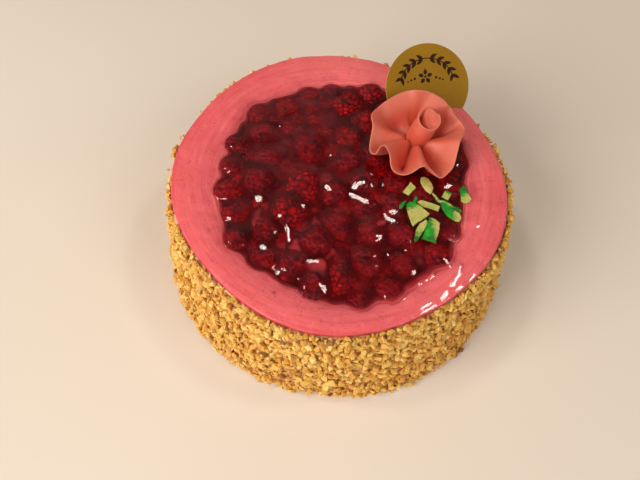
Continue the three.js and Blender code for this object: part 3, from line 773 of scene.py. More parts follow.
def pink_top():
    nt = 620
    th = np.linspace(0, 2 * np.pi, nt, endpoint=False)
    rows = []
    us = []

    def add(r, z, u):
        rows.append(np.stack([r * np.cos(th), r * np.sin(th), z + 0 * th], -1))
        us.append(np.full(nt, float(u)))

    s, e = shore_r(th), edge_r(th)
    for f in (0.04, 0.2, 0.4, 0.6, 0.8, 1.0):
        add((s - BANK) * f, np.full(nt, FLOOR_Z), -0.4)
    for t in np.linspace(0, 1, 20)[1:]:
        r = s - BANK * (1 - t)
        add(r, pink_surface(th, r), (t - 1) * 0.4)
    for u in np.linspace(0, LIP_U, 52)[1:]:
        r = lerp(s, e, u)
        add(r, pink_surface(th, r), u)
    zl = pink_surface(th, lerp(s, e, LIP_U))
    rl = lerp(s, e, LIP_U)
    wander = 0.35 * (value_noise(np.stack([np.cos(th) * 14, np.sin(th) * 14, 0 * th], -1), 1.0, 15) - 0.5)
    for a in np.linspace(0, 1, 13)[1:]:
        ang = a * math.radians(152)
        out = math.sin(min(ang, math.pi / 2)) - (0.35 * (1 - math.sin(ang)) if ang > math.pi / 2 else 0)
        add(rl + (e + wander - rl) * out, lerp(zl, EDGE_Z - 1.9, (1 - math.cos(ang)) / (1 - math.cos(math.radians(152)))),
            LIP_U + (1 - LIP_U) * min(1, out) + (0.25 * a))
    add(e - 4.2, np.full(nt, EDGE_Z - 2.1), 1.3)
    add(e - 9.0, np.full(nt, EDGE_Z - 6.0), 1.3)
    add(s - 2.0, np.full(nt, FLOOR_Z - LAYER), 1.3)
    for f in (0.6, 0.2):
        add((s - 2.0) * f, np.full(nt, FLOOR_Z - LAYER), 1.3)
    V, U = np.concatenate(rows), np.concatenate(us)
    c0, c1 = len(V), len(V) + 1
    V = np.concatenate([V, [[0, 0, FLOOR_Z], [0, 0, FLOOR_Z - LAYER]]])
    U = np.concatenate([U, [-0.4, 1.3]])
    ob = make("pink_mousse_top", V, ring_faces(len(rows), nt, c0, c1), PINK, attrs={"across": U})
    place(ob, "pink_top", slot="pink")
    return ob


pink = pink_top()


# ---------------------------------------------------------------- berry shapes
SQ = 0.61      # how boxy the berries' sides are


def berry_top(b, X, Y):
    dx, dy = X - b["x"], Y - b["y"]
    q = np.hypot(dx, dy) / outline_at(b, np.arctan2(dy, dx))
    z = b["z"] + b["hh"] * 0.985 * np.sqrt(np.clip(1 - np.clip(q, 0, 1) ** (2 / SQ), 0, 1))
    return np.where(q < 1, z, -1e3)


SHORE_BERRIES = [(-26.5, -65.0, 71.6), (-34.5, -60.0, 70.6), (43.5, -60.0, 71.4), (-63.5, -38.5, 70.8), (66.5, -21.5, 70.8), (-66.5, 10.5, 70.6),
                 (-43.0, 55.0, 70.8), (-60.0, 33.0, 70.8), (5.5, 66.5, 70.8), (48.0, -61.0, 70.2), (-4.5, -73.5, 70.6)]


def sunken_list():
    """Berries of the layer beneath, wherever the upper ones leave a gap."""
    g = np.arange(-78, 79, 1.5)
    X, Y = np.meshgrid(g, g)
    th = np.arctan2(Y, X)
    inside = np.hypot(X, Y) < shore_r(th) - 6.0
    gap = np.full(X.shape, 1e3)
    for b in berries:
        dx, dy = X - b["x"], Y - b["y"]
        gap = np.minimum(gap, np.hypot(dx, dy) - outline_at(b, np.arctan2(dy, dx)))
    out, k = [], 0
    score = np.where(inside, gap, -1e3)
    while k < 46:
        j = np.argmax(score)
        if score.flat[j] < -1.4:
            break
        x, y = X.flat[j], Y.flat[j]
        R = 7.4 + 1.2 * hash1(k, 21)
        out.append(dict(x=float(x), y=float(y), R=R, V=R * 1.12, hh=7.4, z=62.7 + 1.5 * hash1(k, 22) + 1.2 * hash1(k, 26), tone=0.10 + 0.75 * hash1(k, 23) ** 2, i=200 + k))
        score = np.where(np.hypot(X - x, Y - y) < 11.5, -1e3, score)
        k += 1
    for x, y, top in SHORE_BERRIES:
        i = 300 + len(out)
        out = [c for c in out if math.hypot(c["x"] - x, c["y"] - y) > 7.0]
        out.append(dict(x=x, y=y, R=7.6, V=8.4, hh=7.4, z=top - 7.3, tone=0.15 + 0.3 * hash1(i, 23), i=i))
    return press_together(out, 0.3)


sunken = sunken_list()
for b in berries:
    # made redder and brighter towards the back, darker towards the front
    b["tone"] = min(1.0, max(0.0, 0.40 + 1.45 * (b["tone"] - 0.40) + 0.16 * float(smooth(5, 30, b["y"])) - 0.08 * float(smooth(-25, -50, b["y"]))))


def rot_axis(axis, a):
    return np.array(Matrix.Rotation(a, 3, Vector(axis)))


def drupelet_centres(r):
    cents = [(0.0, 0.0)]
    rows = 10
    for k in range(1, rows + 1):
        phi = math.pi * k / (rows + 0.9)
        n = max(4, int(round(2 * math.pi * math.sin(phi) / 0.30)))
        off = r.random() * 2 * math.pi
        for j in range(n):
            cents.append((phi + r.normal(0, 0.022), off + 2 * math.pi * (j + 0.14 * r.normal()) / n))
    c = np.array(cents)
    return np.stack([np.sin(c[:, 0]) * np.cos(c[:, 1]), np.sin(c[:, 0]) * np.sin(c[:, 1]), np.cos(c[:, 0])], -1)


# places where cream has mixed into the jelly: x, y, radius, strength
MILK = [(-27.0, 55.0, 5.0, 0.9), (-18.7, 54.3, 5.0, 0.9), (-9.4, 42.3, 6.0, 0.9), (1.7, 64.8, 4.5, 0.6), (-35.2, 17.5, 5.0, 0.8), (-32.7, 22.6, 4.0, 0.8),
        (-18.1, 29.0, 5.0, 0.8), (-38.7, 1.6, 5.0, 0.75), (-15.8, 4.0, 4.5, 0.7), (9.0, 12.7, 5.0, 0.6), (15.2, -22.9, 6.0, 0.8), (19.8, -29.1, 4.5, 0.8),
        (18.1, -39.7, 4.0, 0.5), (-26.1, -61.6, 4.5, 0.6), (43.8, -51.2, 3.0, 0.8), (-27.5, 33.1, 5.0, 0.7), (-7.9, -2.1, 3.6, 0.6), (-30.4, 5.7, 4.0, 0.5)]


def milk_and_haze_at(X, Y):
    """How milky the jelly is, 0..1: cream mixed in at the blobs and in wisps, and painted reflection haze most of all
    at the back left.
    """
    P = np.stack([X, Y, 0 * X], -1).reshape(-1, 3)
    wob = (value_noise(P, 8, 51) - 0.5).reshape(X.shape)
    fine = (value_noise(P, 2.2, 52) - 0.5).reshape(X.shape)
    back = np.exp(-((X + 20) ** 2 + (Y - 26) ** 2) / 46.0 ** 2)
    # painted reflection haze, strongest at the back left
    milk_haze = 0.35 * back * smooth(0.45, 0.75, value_noise(P, 11, 53).reshape(X.shape))
    for mx, my, mr, amount in MILK:
        milk_haze = np.maximum(milk_haze, amount * np.exp(-(((X - mx) ** 2 + (Y - my) ** 2) / mr ** 2) ** 1.3))
    return np.clip(milk_haze * 1.15 + 0.42 * fine + 0.35 * wob - 0.08, 0, 1), wob, fine


def veil_and_haze_at(X, Y):
    """The same cloud, cream with painted reflection haze, where it runs thinly over the berries themselves."""
    P = np.stack([X * 1.0 + 0.45 * Y, Y * 0.42, 0 * X], -1).reshape(-1, 3)
    wisp = smooth(0.50, 0.78, value_noise(P, 7.5, 57).reshape(X.shape))
    # wisps and a wash strongest at the back left: painted reflection haze
    left = np.exp(-((X + 22) ** 2 + (Y - 24) ** 2) / 42.0 ** 2)
    soft = np.zeros(X.shape)
    for mx, my, mr, amount in MILK:
        soft = np.maximum(soft, amount * np.exp(-((X - mx) ** 2 + (Y - my) ** 2) / (1.35 * mr) ** 2))
    return np.clip(0.75 * soft + 0.55 * wisp * (0.25 + 0.75 * left) + 0.10 * left, 0, 1)


def berry_mesh(b, nt, ntop, nlow, knob=0.115):
    i = b["i"]
    r = np.random.default_rng(900 + i)
    lean = math.radians(8 + 80 * hash1(i, 1) ** 1.3)
    way = 2 * math.pi * hash1(i, 2)
    turn = rot_axis((-math.sin(way), math.cos(way), 0), lean) @ rot_axis((0, 0, 1), 2 * math.pi * hash1(i, 3))
    C = drupelet_centres(r)
    size = 1 + 0.13 * r.normal(size=len(C)).clip(-2, 2)
    lift = 0.35 * r.normal(size=len(C)).clip(-2, 2)
    ph = np.concatenate([np.linspace(0, 1.58, ntop + 1)[1:], np.linspace(1.58, math.pi, nlow + 1)[1:-1]])
    th = np.linspace(0, 2 * np.pi, nt, endpoint=False)
    P, T = np.meshgrid(ph, th, indexing="ij")
    D = np.stack([np.sin(P) * np.cos(T), np.sin(P) * np.sin(T), np.cos(P)], -1).reshape(-1, 3)
    D = np.concatenate([D, [[0, 0, 1.0], [0, 0, -1.0]]])
    # how the berry is really stretched sideways, so that drupelets keep their size
    stretch = float(b["out"].mean()) / b["hh"]
    Q = D * np.array([stretch, stretch, 1.0])
    Q /= np.linalg.norm(Q, axis=1)[:, None]
    L = Q @ turn
    ang = np.arccos(np.clip(L @ C.T, -1, 1)) / size[None, :]
    order = np.argsort(ang, axis=1)
    d1 = np.take_along_axis(ang, order[:, :1], 1)[:, 0]
    d2 = np.take_along_axis(ang, order[:, 1:2], 1)[:, 0]
    cell = np.clip(d1 / (0.5 * (d1 + d2) + 1e-6), 0, 1)
    dome = np.sqrt(np.clip(1 - cell ** 2 * 0.97, 0, 1))
    rad_ = np.minimum((1 - knob) + knob * dome * (1 + lift[order[:, 0]] * 0.35), 1.0)
    horiz = np.sqrt(np.clip(1 - D[:, 2] ** 2, 0, 1)) ** SQ
    phi = np.arctan2(D[:, 1], D[:, 0])
    rr = outline_at(b, phi) * horiz * rad_
    V = np.stack([b["x"] + rr * np.cos(phi), b["y"] + rr * np.sin(phi), b["z"] + b["hh"] * D[:, 2] * rad_ * 0.985], -1)
    F = ring_faces(len(ph), nt, len(D) - 2, len(D) - 1)
    shade = r.random(len(C))[order[:, 0]]
    return V, F, cell, np.clip(b["tone"] + 0.22 * (shade - 0.5), 0, 1)


def join_berries(name, bs, nt, ntop, nlow, nodes=()):
    VS, Q, Tr, cell, tone, veil_haze = [], [], [], [], [], []
    n = 0
    for b in bs:
        V, F, c, t = berry_mesh(b, nt, ntop, nlow)
        VS.append(V)
        Q.append(F[0] + n)
        Tr += [f + n for f in F[1:]]
        cell.append(c)
        tone.append(t)
        veil_haze.append(veil_and_haze_at(V[:, 0], V[:, 1]))
        n += len(V)
    ob = make(name, np.concatenate(VS), [np.concatenate(Q), np.concatenate(Tr)], BERRY,
              attrs={"cell": np.concatenate(cell), "tone": np.concatenate(tone), "veil_haze": np.concatenate(veil_haze)})
    return place(ob, *nodes, slot="berry")


rear = [b for b in berries if b["y"] > -6]
fore = [b for b in berries if b["y"] <= -6]
rear_ob = join_berries("raspberries_rear", rear, 84, 26, 4, [f"raspberry_{b['i'] + 1:02d}" for b in rear])
fore_ob = join_berries("raspberries_fore", fore, 84, 26, 4, [f"raspberry_{b['i'] + 1:02d}" for b in fore])
sunken_ob = join_berries("sunken_raspberries", sunken, 38, 13, 3)


# ---------------------------------------------------------------- jelly
LEVEL = 72.7
CELL = 0.6
GX = np.arange(-90, 90 + CELL, CELL)


def blur(A, sigma):
    n = int(3 * sigma / CELL) + 1
    k = np.exp(-0.5 * (np.arange(-n, n + 1) * CELL / sigma) ** 2)
    k /= k.sum()
    A = np.apply_along_axis(lambda v: np.convolve(np.pad(v, n, mode="edge"), k, mode="valid"), 0, A)
    return np.apply_along_axis(lambda v: np.convolve(np.pad(v, n, mode="edge"), k, mode="valid"), 1, A)


def film_grid():
    X, Y = np.meshgrid(GX, GX, indexing="ij")
    raw = np.full(X.shape, -1e3)
    for b in berries:
        raw = np.maximum(raw, berry_top(b, X, Y))
    level = LEVEL + 0.9 * (value_noise(np.stack([X, Y, 0 * X], -1).reshape(-1, 3), 19, 33).reshape(X.shape) - 0.5) \
        + 1.1 * np.exp(-((X + 22) ** 2 + (Y - 26) ** 2) / 34.0 ** 2)
    H = blur(np.maximum(level, raw + 1.2), 3.3)
    H = blur(np.maximum(H, raw + 0.32), 1.3)
    return np.maximum(H, raw + 0.12), raw


FILM, RAW = film_grid()


def sample(G, x, y):
    fx, fy = (np.asarray(x) - GX[0]) / CELL, (np.asarray(y) - GX[0]) / CELL
    i = np.clip(np.floor(fx).astype(int), 0, len(GX) - 2)
    j = np.clip(np.floor(fy).astype(int), 0, len(GX) - 2)
    u, v = fx - i, fy - j
    return (G[i, j] * (1 - u) + G[i + 1, j] * u) * (1 - v) + (G[i, j + 1] * (1 - u) + G[i + 1, j + 1] * u) * v


def halo_at(th):
    """Where the jelly has run a little way out over the cream."""
    return np.maximum(round_about(th, 2.5, 0.7), 0.9 * round_about(th, -0.92, 0.42))


def film_height(th, r):
    x, y = r * np.cos(th), r * np.sin(th)
    d = r - shore_r(th)
    Z = sample(FILM, x, y)
    pink_z = pink_surface(th, np.maximum(r, shore_r(th)))
    halo = halo_at(th)
    d = np.where(d > 0, d / (1 + 0.5 * halo), d)
    thin = pink_z + 0.40 + 0.45 * halo - (0.72 + 0.45 * halo) * smooth(-0.8, 2.6, d)
    berry = sample(RAW, x, y) + 0.25
    edge = np.log(np.exp(3 * (np.clip(berry, 60, 90) - 70)) + np.exp(3 * (thin - 70))) / 3 + 70
    Z = lerp(Z, edge, smooth(-8.5, 1.2, d))
    P = np.stack([x, y, Z], -1).reshape(-1, 3)
    ripple = (value_noise(P, 6.5, 11) - 0.5) * 0.34 + (value_noise(P, 2.6, 12) - 0.5) * 0.08
    return Z + ripple.reshape(Z.shape) * (1 - smooth(-1.0, 1.5, d))


# wet spots: lines along which the film lies flat enough to catch a lamp, and their half width
WET = [
    ([(-45.1, -18.9)], 2.3), ([(-39.3, -49.3)], 1.9), ([(-27.9, -35.7), (-26.6, -39.0), (-26.3, -42.2), (-26.6, -45.4)], 0.95),
    ([(-19.9, -23.1)], 1.3), ([(-7.6, -9.5), (-6.0, -11.4)], 1.25), ([(-6.2, 13.1)], 1.0),
    ([(7.4, -8.6), (10.2, -6.3), (13.0, -5.9)], 1.3), ([(5.8, -12.3), (8.0, -14.1), (10.8, -15.5), (13.6, -17.1), (16.4, -18.2), (19.2, -18.4)], 1.2),
    ([(28.7, -23.0), (31.4, -22.4)], 1.3), ([(25.3, -25.0), (26.5, -27.1), (28.3, -28.4), (30.6, -29.1)], 1.1),
    ([(17.5, 0.9)], 1.0), ([(24.1, -5.7)], 0.95), ([(19.6, -51.2)], 1.0), ([(26.8, -49.5)], 1.15), ([(36.1, -46.8)], 1.0), ([(25.4, -74.0)], 1.3),
    ([(-8.8, -69.4), (-6.4, -71.2), (-5.4, -73.6)], 1.15), ([(-16.0, -56.5), (-13.0, -56.2), (-9.6, -56.2)], 1.1), ([(-34.4, -40.0)], 0.95),
    ([(-50.4, -49.2)], 1.1), ([(43.0, -65.2)], 1.0), ([(46.5, -63.3)], 1.1), ([(50.6, -60.4)], 1.0), ([(59.7, -4.8), (62.2, -3.1)], 1.2), ([(-61.8, -25.8)], 1.0),
    ([(-56.7, 9.4)], 0.9), ([(-41.5, 34.2)], 0.95), ([(-37.4, 32.8)], 0.95), ([(54.5, -23.8)], 0.95), ([(67.9, 11.8)], 1.3),
]


def film_facets():
    out = []
    for line, half in WET:
        out += facets_along(line, half, film_height, under=lambda x, y: sample(RAW, x, y))
    return out


FACETS = film_facets()


def jelly_surface(th, r):
    Z = with_facets(th, r, film_height(th, r), FACETS)
    berry = sample(RAW, r * np.cos(th), r * np.sin(th)) + 0.10
    return np.where(r < shore_r(th) - 2.0, np.maximum(Z, berry), Z)


def jelly():
    nt = 520
    th = np.linspace(0, 2 * np.pi, nt, endpoint=False)
    s = shore_r(th)
    rows, thin = [], []
    outs = s + 2.5 * (1 + 0.5 * halo_at(th))
    for f in np.linspace(0.010, 1, 124):
        r = outs * f
        rows.append(np.stack([r * np.cos(th), r * np.sin(th), jelly_surface(th, r)], -1))
        thin.append(smooth(-1.0, 1.6, r - s))
    # underneath, the jelly reaches just into the cream all round
    for d in (1.5, 0.6, 0.0):
        r = s + d
        rows.append(np.stack([r * np.cos(th), r * np.sin(th), pink_surface(th, r) - 0.75], -1))
        thin.append(np.ones(nt))
    for t in np.linspace(1, 0, 10)[1:]:
        r = s - BANK * (1 - t)
        z = pink_surface(th, r) - 0.5
        rows.append(np.stack([(r + 0.35) * np.cos(th), (r + 0.35) * np.sin(th), z], -1))
        thin.append(np.zeros(nt))
    for f in (0.75, 0.4, 0.1):
        r = (s - BANK) * f
        rows.append(np.stack([r * np.cos(th), r * np.sin(th), np.full(nt, FLOOR_Z - 0.4)], -1))
        thin.append(np.zeros(nt))
    V = np.concatenate(rows)
    V = np.concatenate([V, [[0, 0, float(sample(FILM, 0.0, 0.0))], [0, 0, FLOOR_Z - 0.4]]])
    ob = make("jelly_glaze", V, ring_faces(len(rows), nt, len(V) - 2, len(V) - 1), JELLY,
              attrs={"thin": np.concatenate(thin + [[0.0, 0.0]])})
    place(ob, "jelly", slot="jelly")
    return ob


jelly_ob = jelly()


# ---------------------------------------------------------------- crushed fruit between the berries
# patches of cream seen between the berries: strength and outline
CREAM_PATCHES = [
    (0.88, [(-44.3, -24.0), (-42.7, -24.4), (-43.5, -27.7), (-43.6, -30.9), (-42.0, -31.7), (-45.0, -32.8), (-45.5, -37.0), (-47.0, -34.4), (-47.1, -30.7), (-45.9, -27.4)]),
    (0.85, [(-23.4, -43.5), (-21.6, -43.0), (-21.1, -45.3), (-20.4, -47.3), (-19.9, -50.3), (-21.7, -49.8), (-24.1, -49.3), (-25.9, -49.0), (-25.1, -47.0), (-23.8, -45.5)]),
    (1.0, [(-16.5, -56.7), (-11.9, -56.1), (-9.3, -54.0), (-7.8, -54.2), (-5.9, -56.1), (-5.5, -58.7), (-6.0, -60.6), (-7.1, -63.2), (-8.0, -62.1), (-10.1, -61.3), (-12.1, -61.5), (-13.9, -60.9), (-16.1, -58.4)]),
    (0.7, [(-13.4, -28.7), (-12.0, -30.8), (-10.4, -32.8), (-11.6, -32.5), (-13.1, -33.0), (-14.9, -33.8), (-14.1, -31.3)]),
    (0.7, [(-3.0, -47.5), (-0.3, -48.4), (-0.6, -50.4), (-2.6, -50.9), (-4.9, -53.0), (-6.0, -53.7), (-3.5, -50.3)]),
    (0.34, [(-11.9, -1.5), (-10.6, 1.0), (-8.4, 2.1), (-6.0, 1.0), (-5.0, -1.7), (-6.3, -4.6), (-9.2, -5.5), (-11.2, -3.9)]),
    (0.30, [(-30.9, 1.4), (-29.3, 3.9), (-26.4, 3.5), (-24.1, 1.1), (-24.9, -1.7), (-28.3, -2.3)]),
    (0.92, [(12.8, -38.5), (16.3, -34.8), (20.7, -31.0), (22.9, -28.6), (26.2, -27.8), (25.6, -30.4), (22.3, -32.2), (17.9, -35.0), (13.6, -39.1)]),
    (0.35, [(4.0, 15.4), (6.3, 18.1), (11.0, 17.4), (15.2, 15.1), (12.3, 13.1), (7.6, 13.4)]),
]


def poly_distance(x, y, poly):
    """Signed distance to an outline, negative inside."""
    P = np.asarray(poly, float)
    d = np.full(x.shape, 1e9)
    inside = np.zeros(x.shape, bool)
    for (ax, ay), (bx, by) in zip(P, np.roll(P, -1, axis=0)):
        t = np.clip(((x - ax) * (bx - ax) + (y - ay) * (by - ay)) / ((bx - ax) ** 2 + (by - ay) ** 2), 0, 1)
        d = np.minimum(d, np.hypot(x - ax - t * (bx - ax), y - ay - t * (by - ay)))
        cross = (ay > y) != (by > y)
        xi = ax + (y - ay) / np.where(by == ay, 1e-9, by - ay) * (bx - ax)
        inside ^= cross & (x < xi)
    return np.where(inside, -d, d)


def pulp():
    nt, nr = 400, 112
    th = np.linspace(0, 2 * np.pi, nt, endpoint=False)
    s = shore_r(th)
    R = (s - 0.7)[None] * np.linspace(0.008, 1, nr)[:, None]
    T = np.tile(th, (nr, 1))
    X, Y = R * np.cos(T), R * np.sin(T)
    film = jelly_surface(T, R)
    milk_haze, wob, fine = milk_and_haze_at(X, Y)
    shore = smooth(-6.5, -1.0, R - s[None])
    Z = film - lerp(2.7, 1.5, smooth(0, 1, milk_haze)) * (1 - 0.80 * shore) - 0.9 * wob * (1 - shore) - 0.4 * fine
    Z = np.maximum(Z, pink_surface(T, R) + 0.05)
    run = round_about(T, -0.92, 0.45)
    cream = smooth(-3.2 - 2.2 * run, -0.8, R - s[None]) * (0.36 + 0.50 * run) * np.clip(0.85 + 0.9 * wob, 0.3, 1)
    for k, (amount, poly) in enumerate(CREAM_PATCHES):
        d = poly_distance(X, Y, poly) + 0.35 * fine
        soft = 1.3 if amount > 0.6 else 2.0
        w = 1 - smooth(-soft, soft, d)
        cream = np.maximum(cream, w * amount * np.clip(0.72 + 1.3 * wob + 0.06 * (X + 10 if k == 2 else 0 * X), 0.35, 1))
        Z = np.maximum(Z, lerp(Z, film - 0.75 - 1.9 * (1 - amount) - 0.5 * fine, 1 - smooth(-0.6, 2.6, d)))
    Z = np.minimum(Z, film - 0.6)
    V = np.concatenate([np.stack([X, Y, Z], -1).reshape(-1, 3)])
    rows = nr
    under = []
    for f in (1.0, 0.7, 0.35, 0.05):
        r = (s - 1.6) * f
        under.append(np.stack([r * np.cos(th), r * np.sin(th), np.full(nt, 62.0 if f < 1 else 64.0)], -1))
    V = np.concatenate([V] + under + [[[0, 0, float(Z[0].mean())], [0, 0, 62.0]]])
    pad = np.zeros(len(under) * nt + 2)
    ob = make("fruit_pulp", V, ring_faces(rows + len(under), nt, len(V) - 2, len(V) - 1), PULP,
              attrs={"milk_haze": np.concatenate([milk_haze.ravel(), pad]), "cream": np.concatenate([cream.ravel(), pad])})
    place(ob, slot="berry")
    return ob


pulp_ob = pulp()


# ---------------------------------------------------------------- nut coat
def body_side(th, z): return lerp(base_r(th) - COAT_T - 0.6, edge_r(th) - 4.4, np.minimum(1, z / 66))
def at_back(th): return smooth(-0.15, 0.25, np.cos(th - math.radians(105)))
def coat_out(th, z): return lerp(base_r(th), edge_r(th) + COAT_PROUD, np.minimum(1, z / 66)) - 1.9 * np.clip(1 - z / 3.5, 0, 1) ** 2 - 2.1 * at_back(th) * smooth(50, 66, z)


def coat_core():
    nt = 400
    th = np.linspace(0, 2 * np.pi, nt, endpoint=False)
    rows = []
    zs = np.concatenate([[0.0], np.linspace(1.0, COAT_TOP_Z + 0.4, 50)])
    for z in zs:
        r = coat_out(th, z) - 2.5
        P = np.stack([r * np.cos(th), r * np.sin(th), np.full(nt, z)], -1)
        r = r + (value_noise(P, 6, 21) - 0.5) * 1.6 + (value_noise(P, 2.2, 22) - 0.5) * 0.5
        rows.append(np.stack([r * np.cos(th), r * np.sin(th), np.full(nt, z)], -1))
    for z in (COAT_TOP_Z + 0.5, 34.0, 2.0, 0.0):
        r = body_side(th, z) + 0.35 - (1.2 if z == 0 else 0)
        rows.append(np.stack([r * np.cos(th), r * np.sin(th), np.full(nt, z)], -1))
    V = np.concatenate(rows)
    n = len(rows)
    F = ring_faces(n, nt)[0]
    i = np.arange(nt)
    j = (i + 1) % nt
    F = np.concatenate([F, np.stack([(n - 1) * nt + i, i, j, (n - 1) * nt + j], -1)])
    F = F[:, ::-1]
    ob = make("coat_cream", V, F, COATCREAM)
    place(ob, "nut_coat", slot="cream")
    return ob


core = coat_core()


def hull_prototypes(n, seed, pts=(8, 11), flat=(0.45, 0.8), long=(1.0, 1.7), box=0.5):
    """Small angular crumbs of unit size: convex hulls of points strewn over a rough block."""
    r = np.random.default_rng(seed)
    protos = []
    for _ in range(n):
        k = int(r.integers(*pts))
        p = r.normal(size=(k, 3))
        p /= np.linalg.norm(p, axis=1)[:, None]
        corner = p / np.abs(p).max(axis=1)[:, None] * 0.80
        p = lerp(p, corner, box)
        p *= r.uniform(0.80, 1.0, size=(k, 1))
        p *= np.array([r.uniform(*long), 1.0, r.uniform(*flat)])
        bm = bmesh.new()
        for q in p:
            bm.verts.new(q)
        bmesh.ops.convex_hull(bm, input=bm.verts[:])
        loose = [v for v in bm.verts if not v.link_faces]
        bmesh.ops.delete(bm, geom=loose, context="VERTS")
        bmesh.ops.triangulate(bm, faces=bm.faces[:])
        bmesh.ops.recalc_face_normals(bm, faces=bm.faces[:])
        bm.verts.index_update()
        V = np.array([v.co[:] for v in bm.verts])
        F = np.array([[v.index for v in f.verts] for f in bm.faces])
        bm.free()
        protos.append((V, F))
    return protos


def scatter(name, protos, pos, nrm, size, mat, seed, tilt=0.5, slot="nuts", nodes=(), floor_z=0.05):
    """Join one copy of a crumb at every place, lying roughly along the surface."""
    r = np.random.default_rng(seed)
    n = len(pos)
    pick = r.integers(0, len(protos), n)
    up = np.array([0, 0, 1.0])
    t1 = np.cross(nrm, up)
    bad = np.linalg.norm(t1, axis=1) < 1e-3
    t1[bad] = [1, 0, 0]
    t1 /= np.linalg.norm(t1, axis=1)[:, None]
    nn = nrm + r.normal(0, tilt, size=(n, 3))
    nn /= np.linalg.norm(nn, axis=1)[:, None]
    t1 = t1 + r.normal(0, 1, size=(n, 3))
    t1 -= (t1 * nn).sum(1)[:, None] * nn
    t1 /= np.linalg.norm(t1, axis=1)[:, None]
    t2 = np.cross(nn, t1)
    M = np.stack([t1, t2, nn], -1)
    VS, FS, off = [], [], 0
    for k, (V, F) in enumerate(protos):
        idx = np.nonzero(pick == k)[0]
        if not len(idx):
            continue
        P = V[None] * size[idx][:, None, None]
        P = np.einsum("nij,nvj->nvi", M[idx], P) + pos[idx][:, None]
        low = np.minimum(P[:, :, 2].min(axis=1) - floor_z, 0)
        P[:, :, 2] -= low[:, None]
        VS.append(P.reshape(-1, 3))
        FS.append((F[None] + (np.arange(len(idx)) * len(V))[:, None, None] + off).reshape(-1, 3))
        off += len(idx) * len(V)
    ob = make(name, np.concatenate(VS), np.concatenate(FS), mat, smooth_shade=False)
    place(ob, *nodes, slot=slot)
    return ob


def wall_points(spacing, seed, z0, z1, jitter=0.42, keep=None):
    r = np.random.default_rng(seed)
    pts = []
    z = z0
    k = 0
    while z <= z1:
        rad_ = 99 + (1 - z / 68) * 10
        n = int(2 * math.pi * rad_ / spacing)
        th = (np.arange(n) + 0.5 * (k % 2)) / n * 2 * np.pi + r.uniform(-jitter, jitter, n) * spacing / rad_
        zz = z + r.uniform(-jitter, jitter, n) * spacing
        pts.append(np.stack([th, np.clip(zz, z0 * 0.6, z1 + 0.3)], -1))
        z += spacing * 0.87
        k += 1
    p = np.concatenate(pts)
    if keep is not None:
        p = p[keep(p, r)]
    return p


def wall_normal(th):
    n = np.stack([np.cos(th), np.sin(th), np.full_like(th, 0.165)], -1)
    return n / np.linalg.norm(n, axis=1)[:, None]


def on_wall(th, z, depth):
    rad_ = coat_out(th, z) + depth
    return np.stack([rad_ * np.cos(th), rad_ * np.sin(th), z], -1)


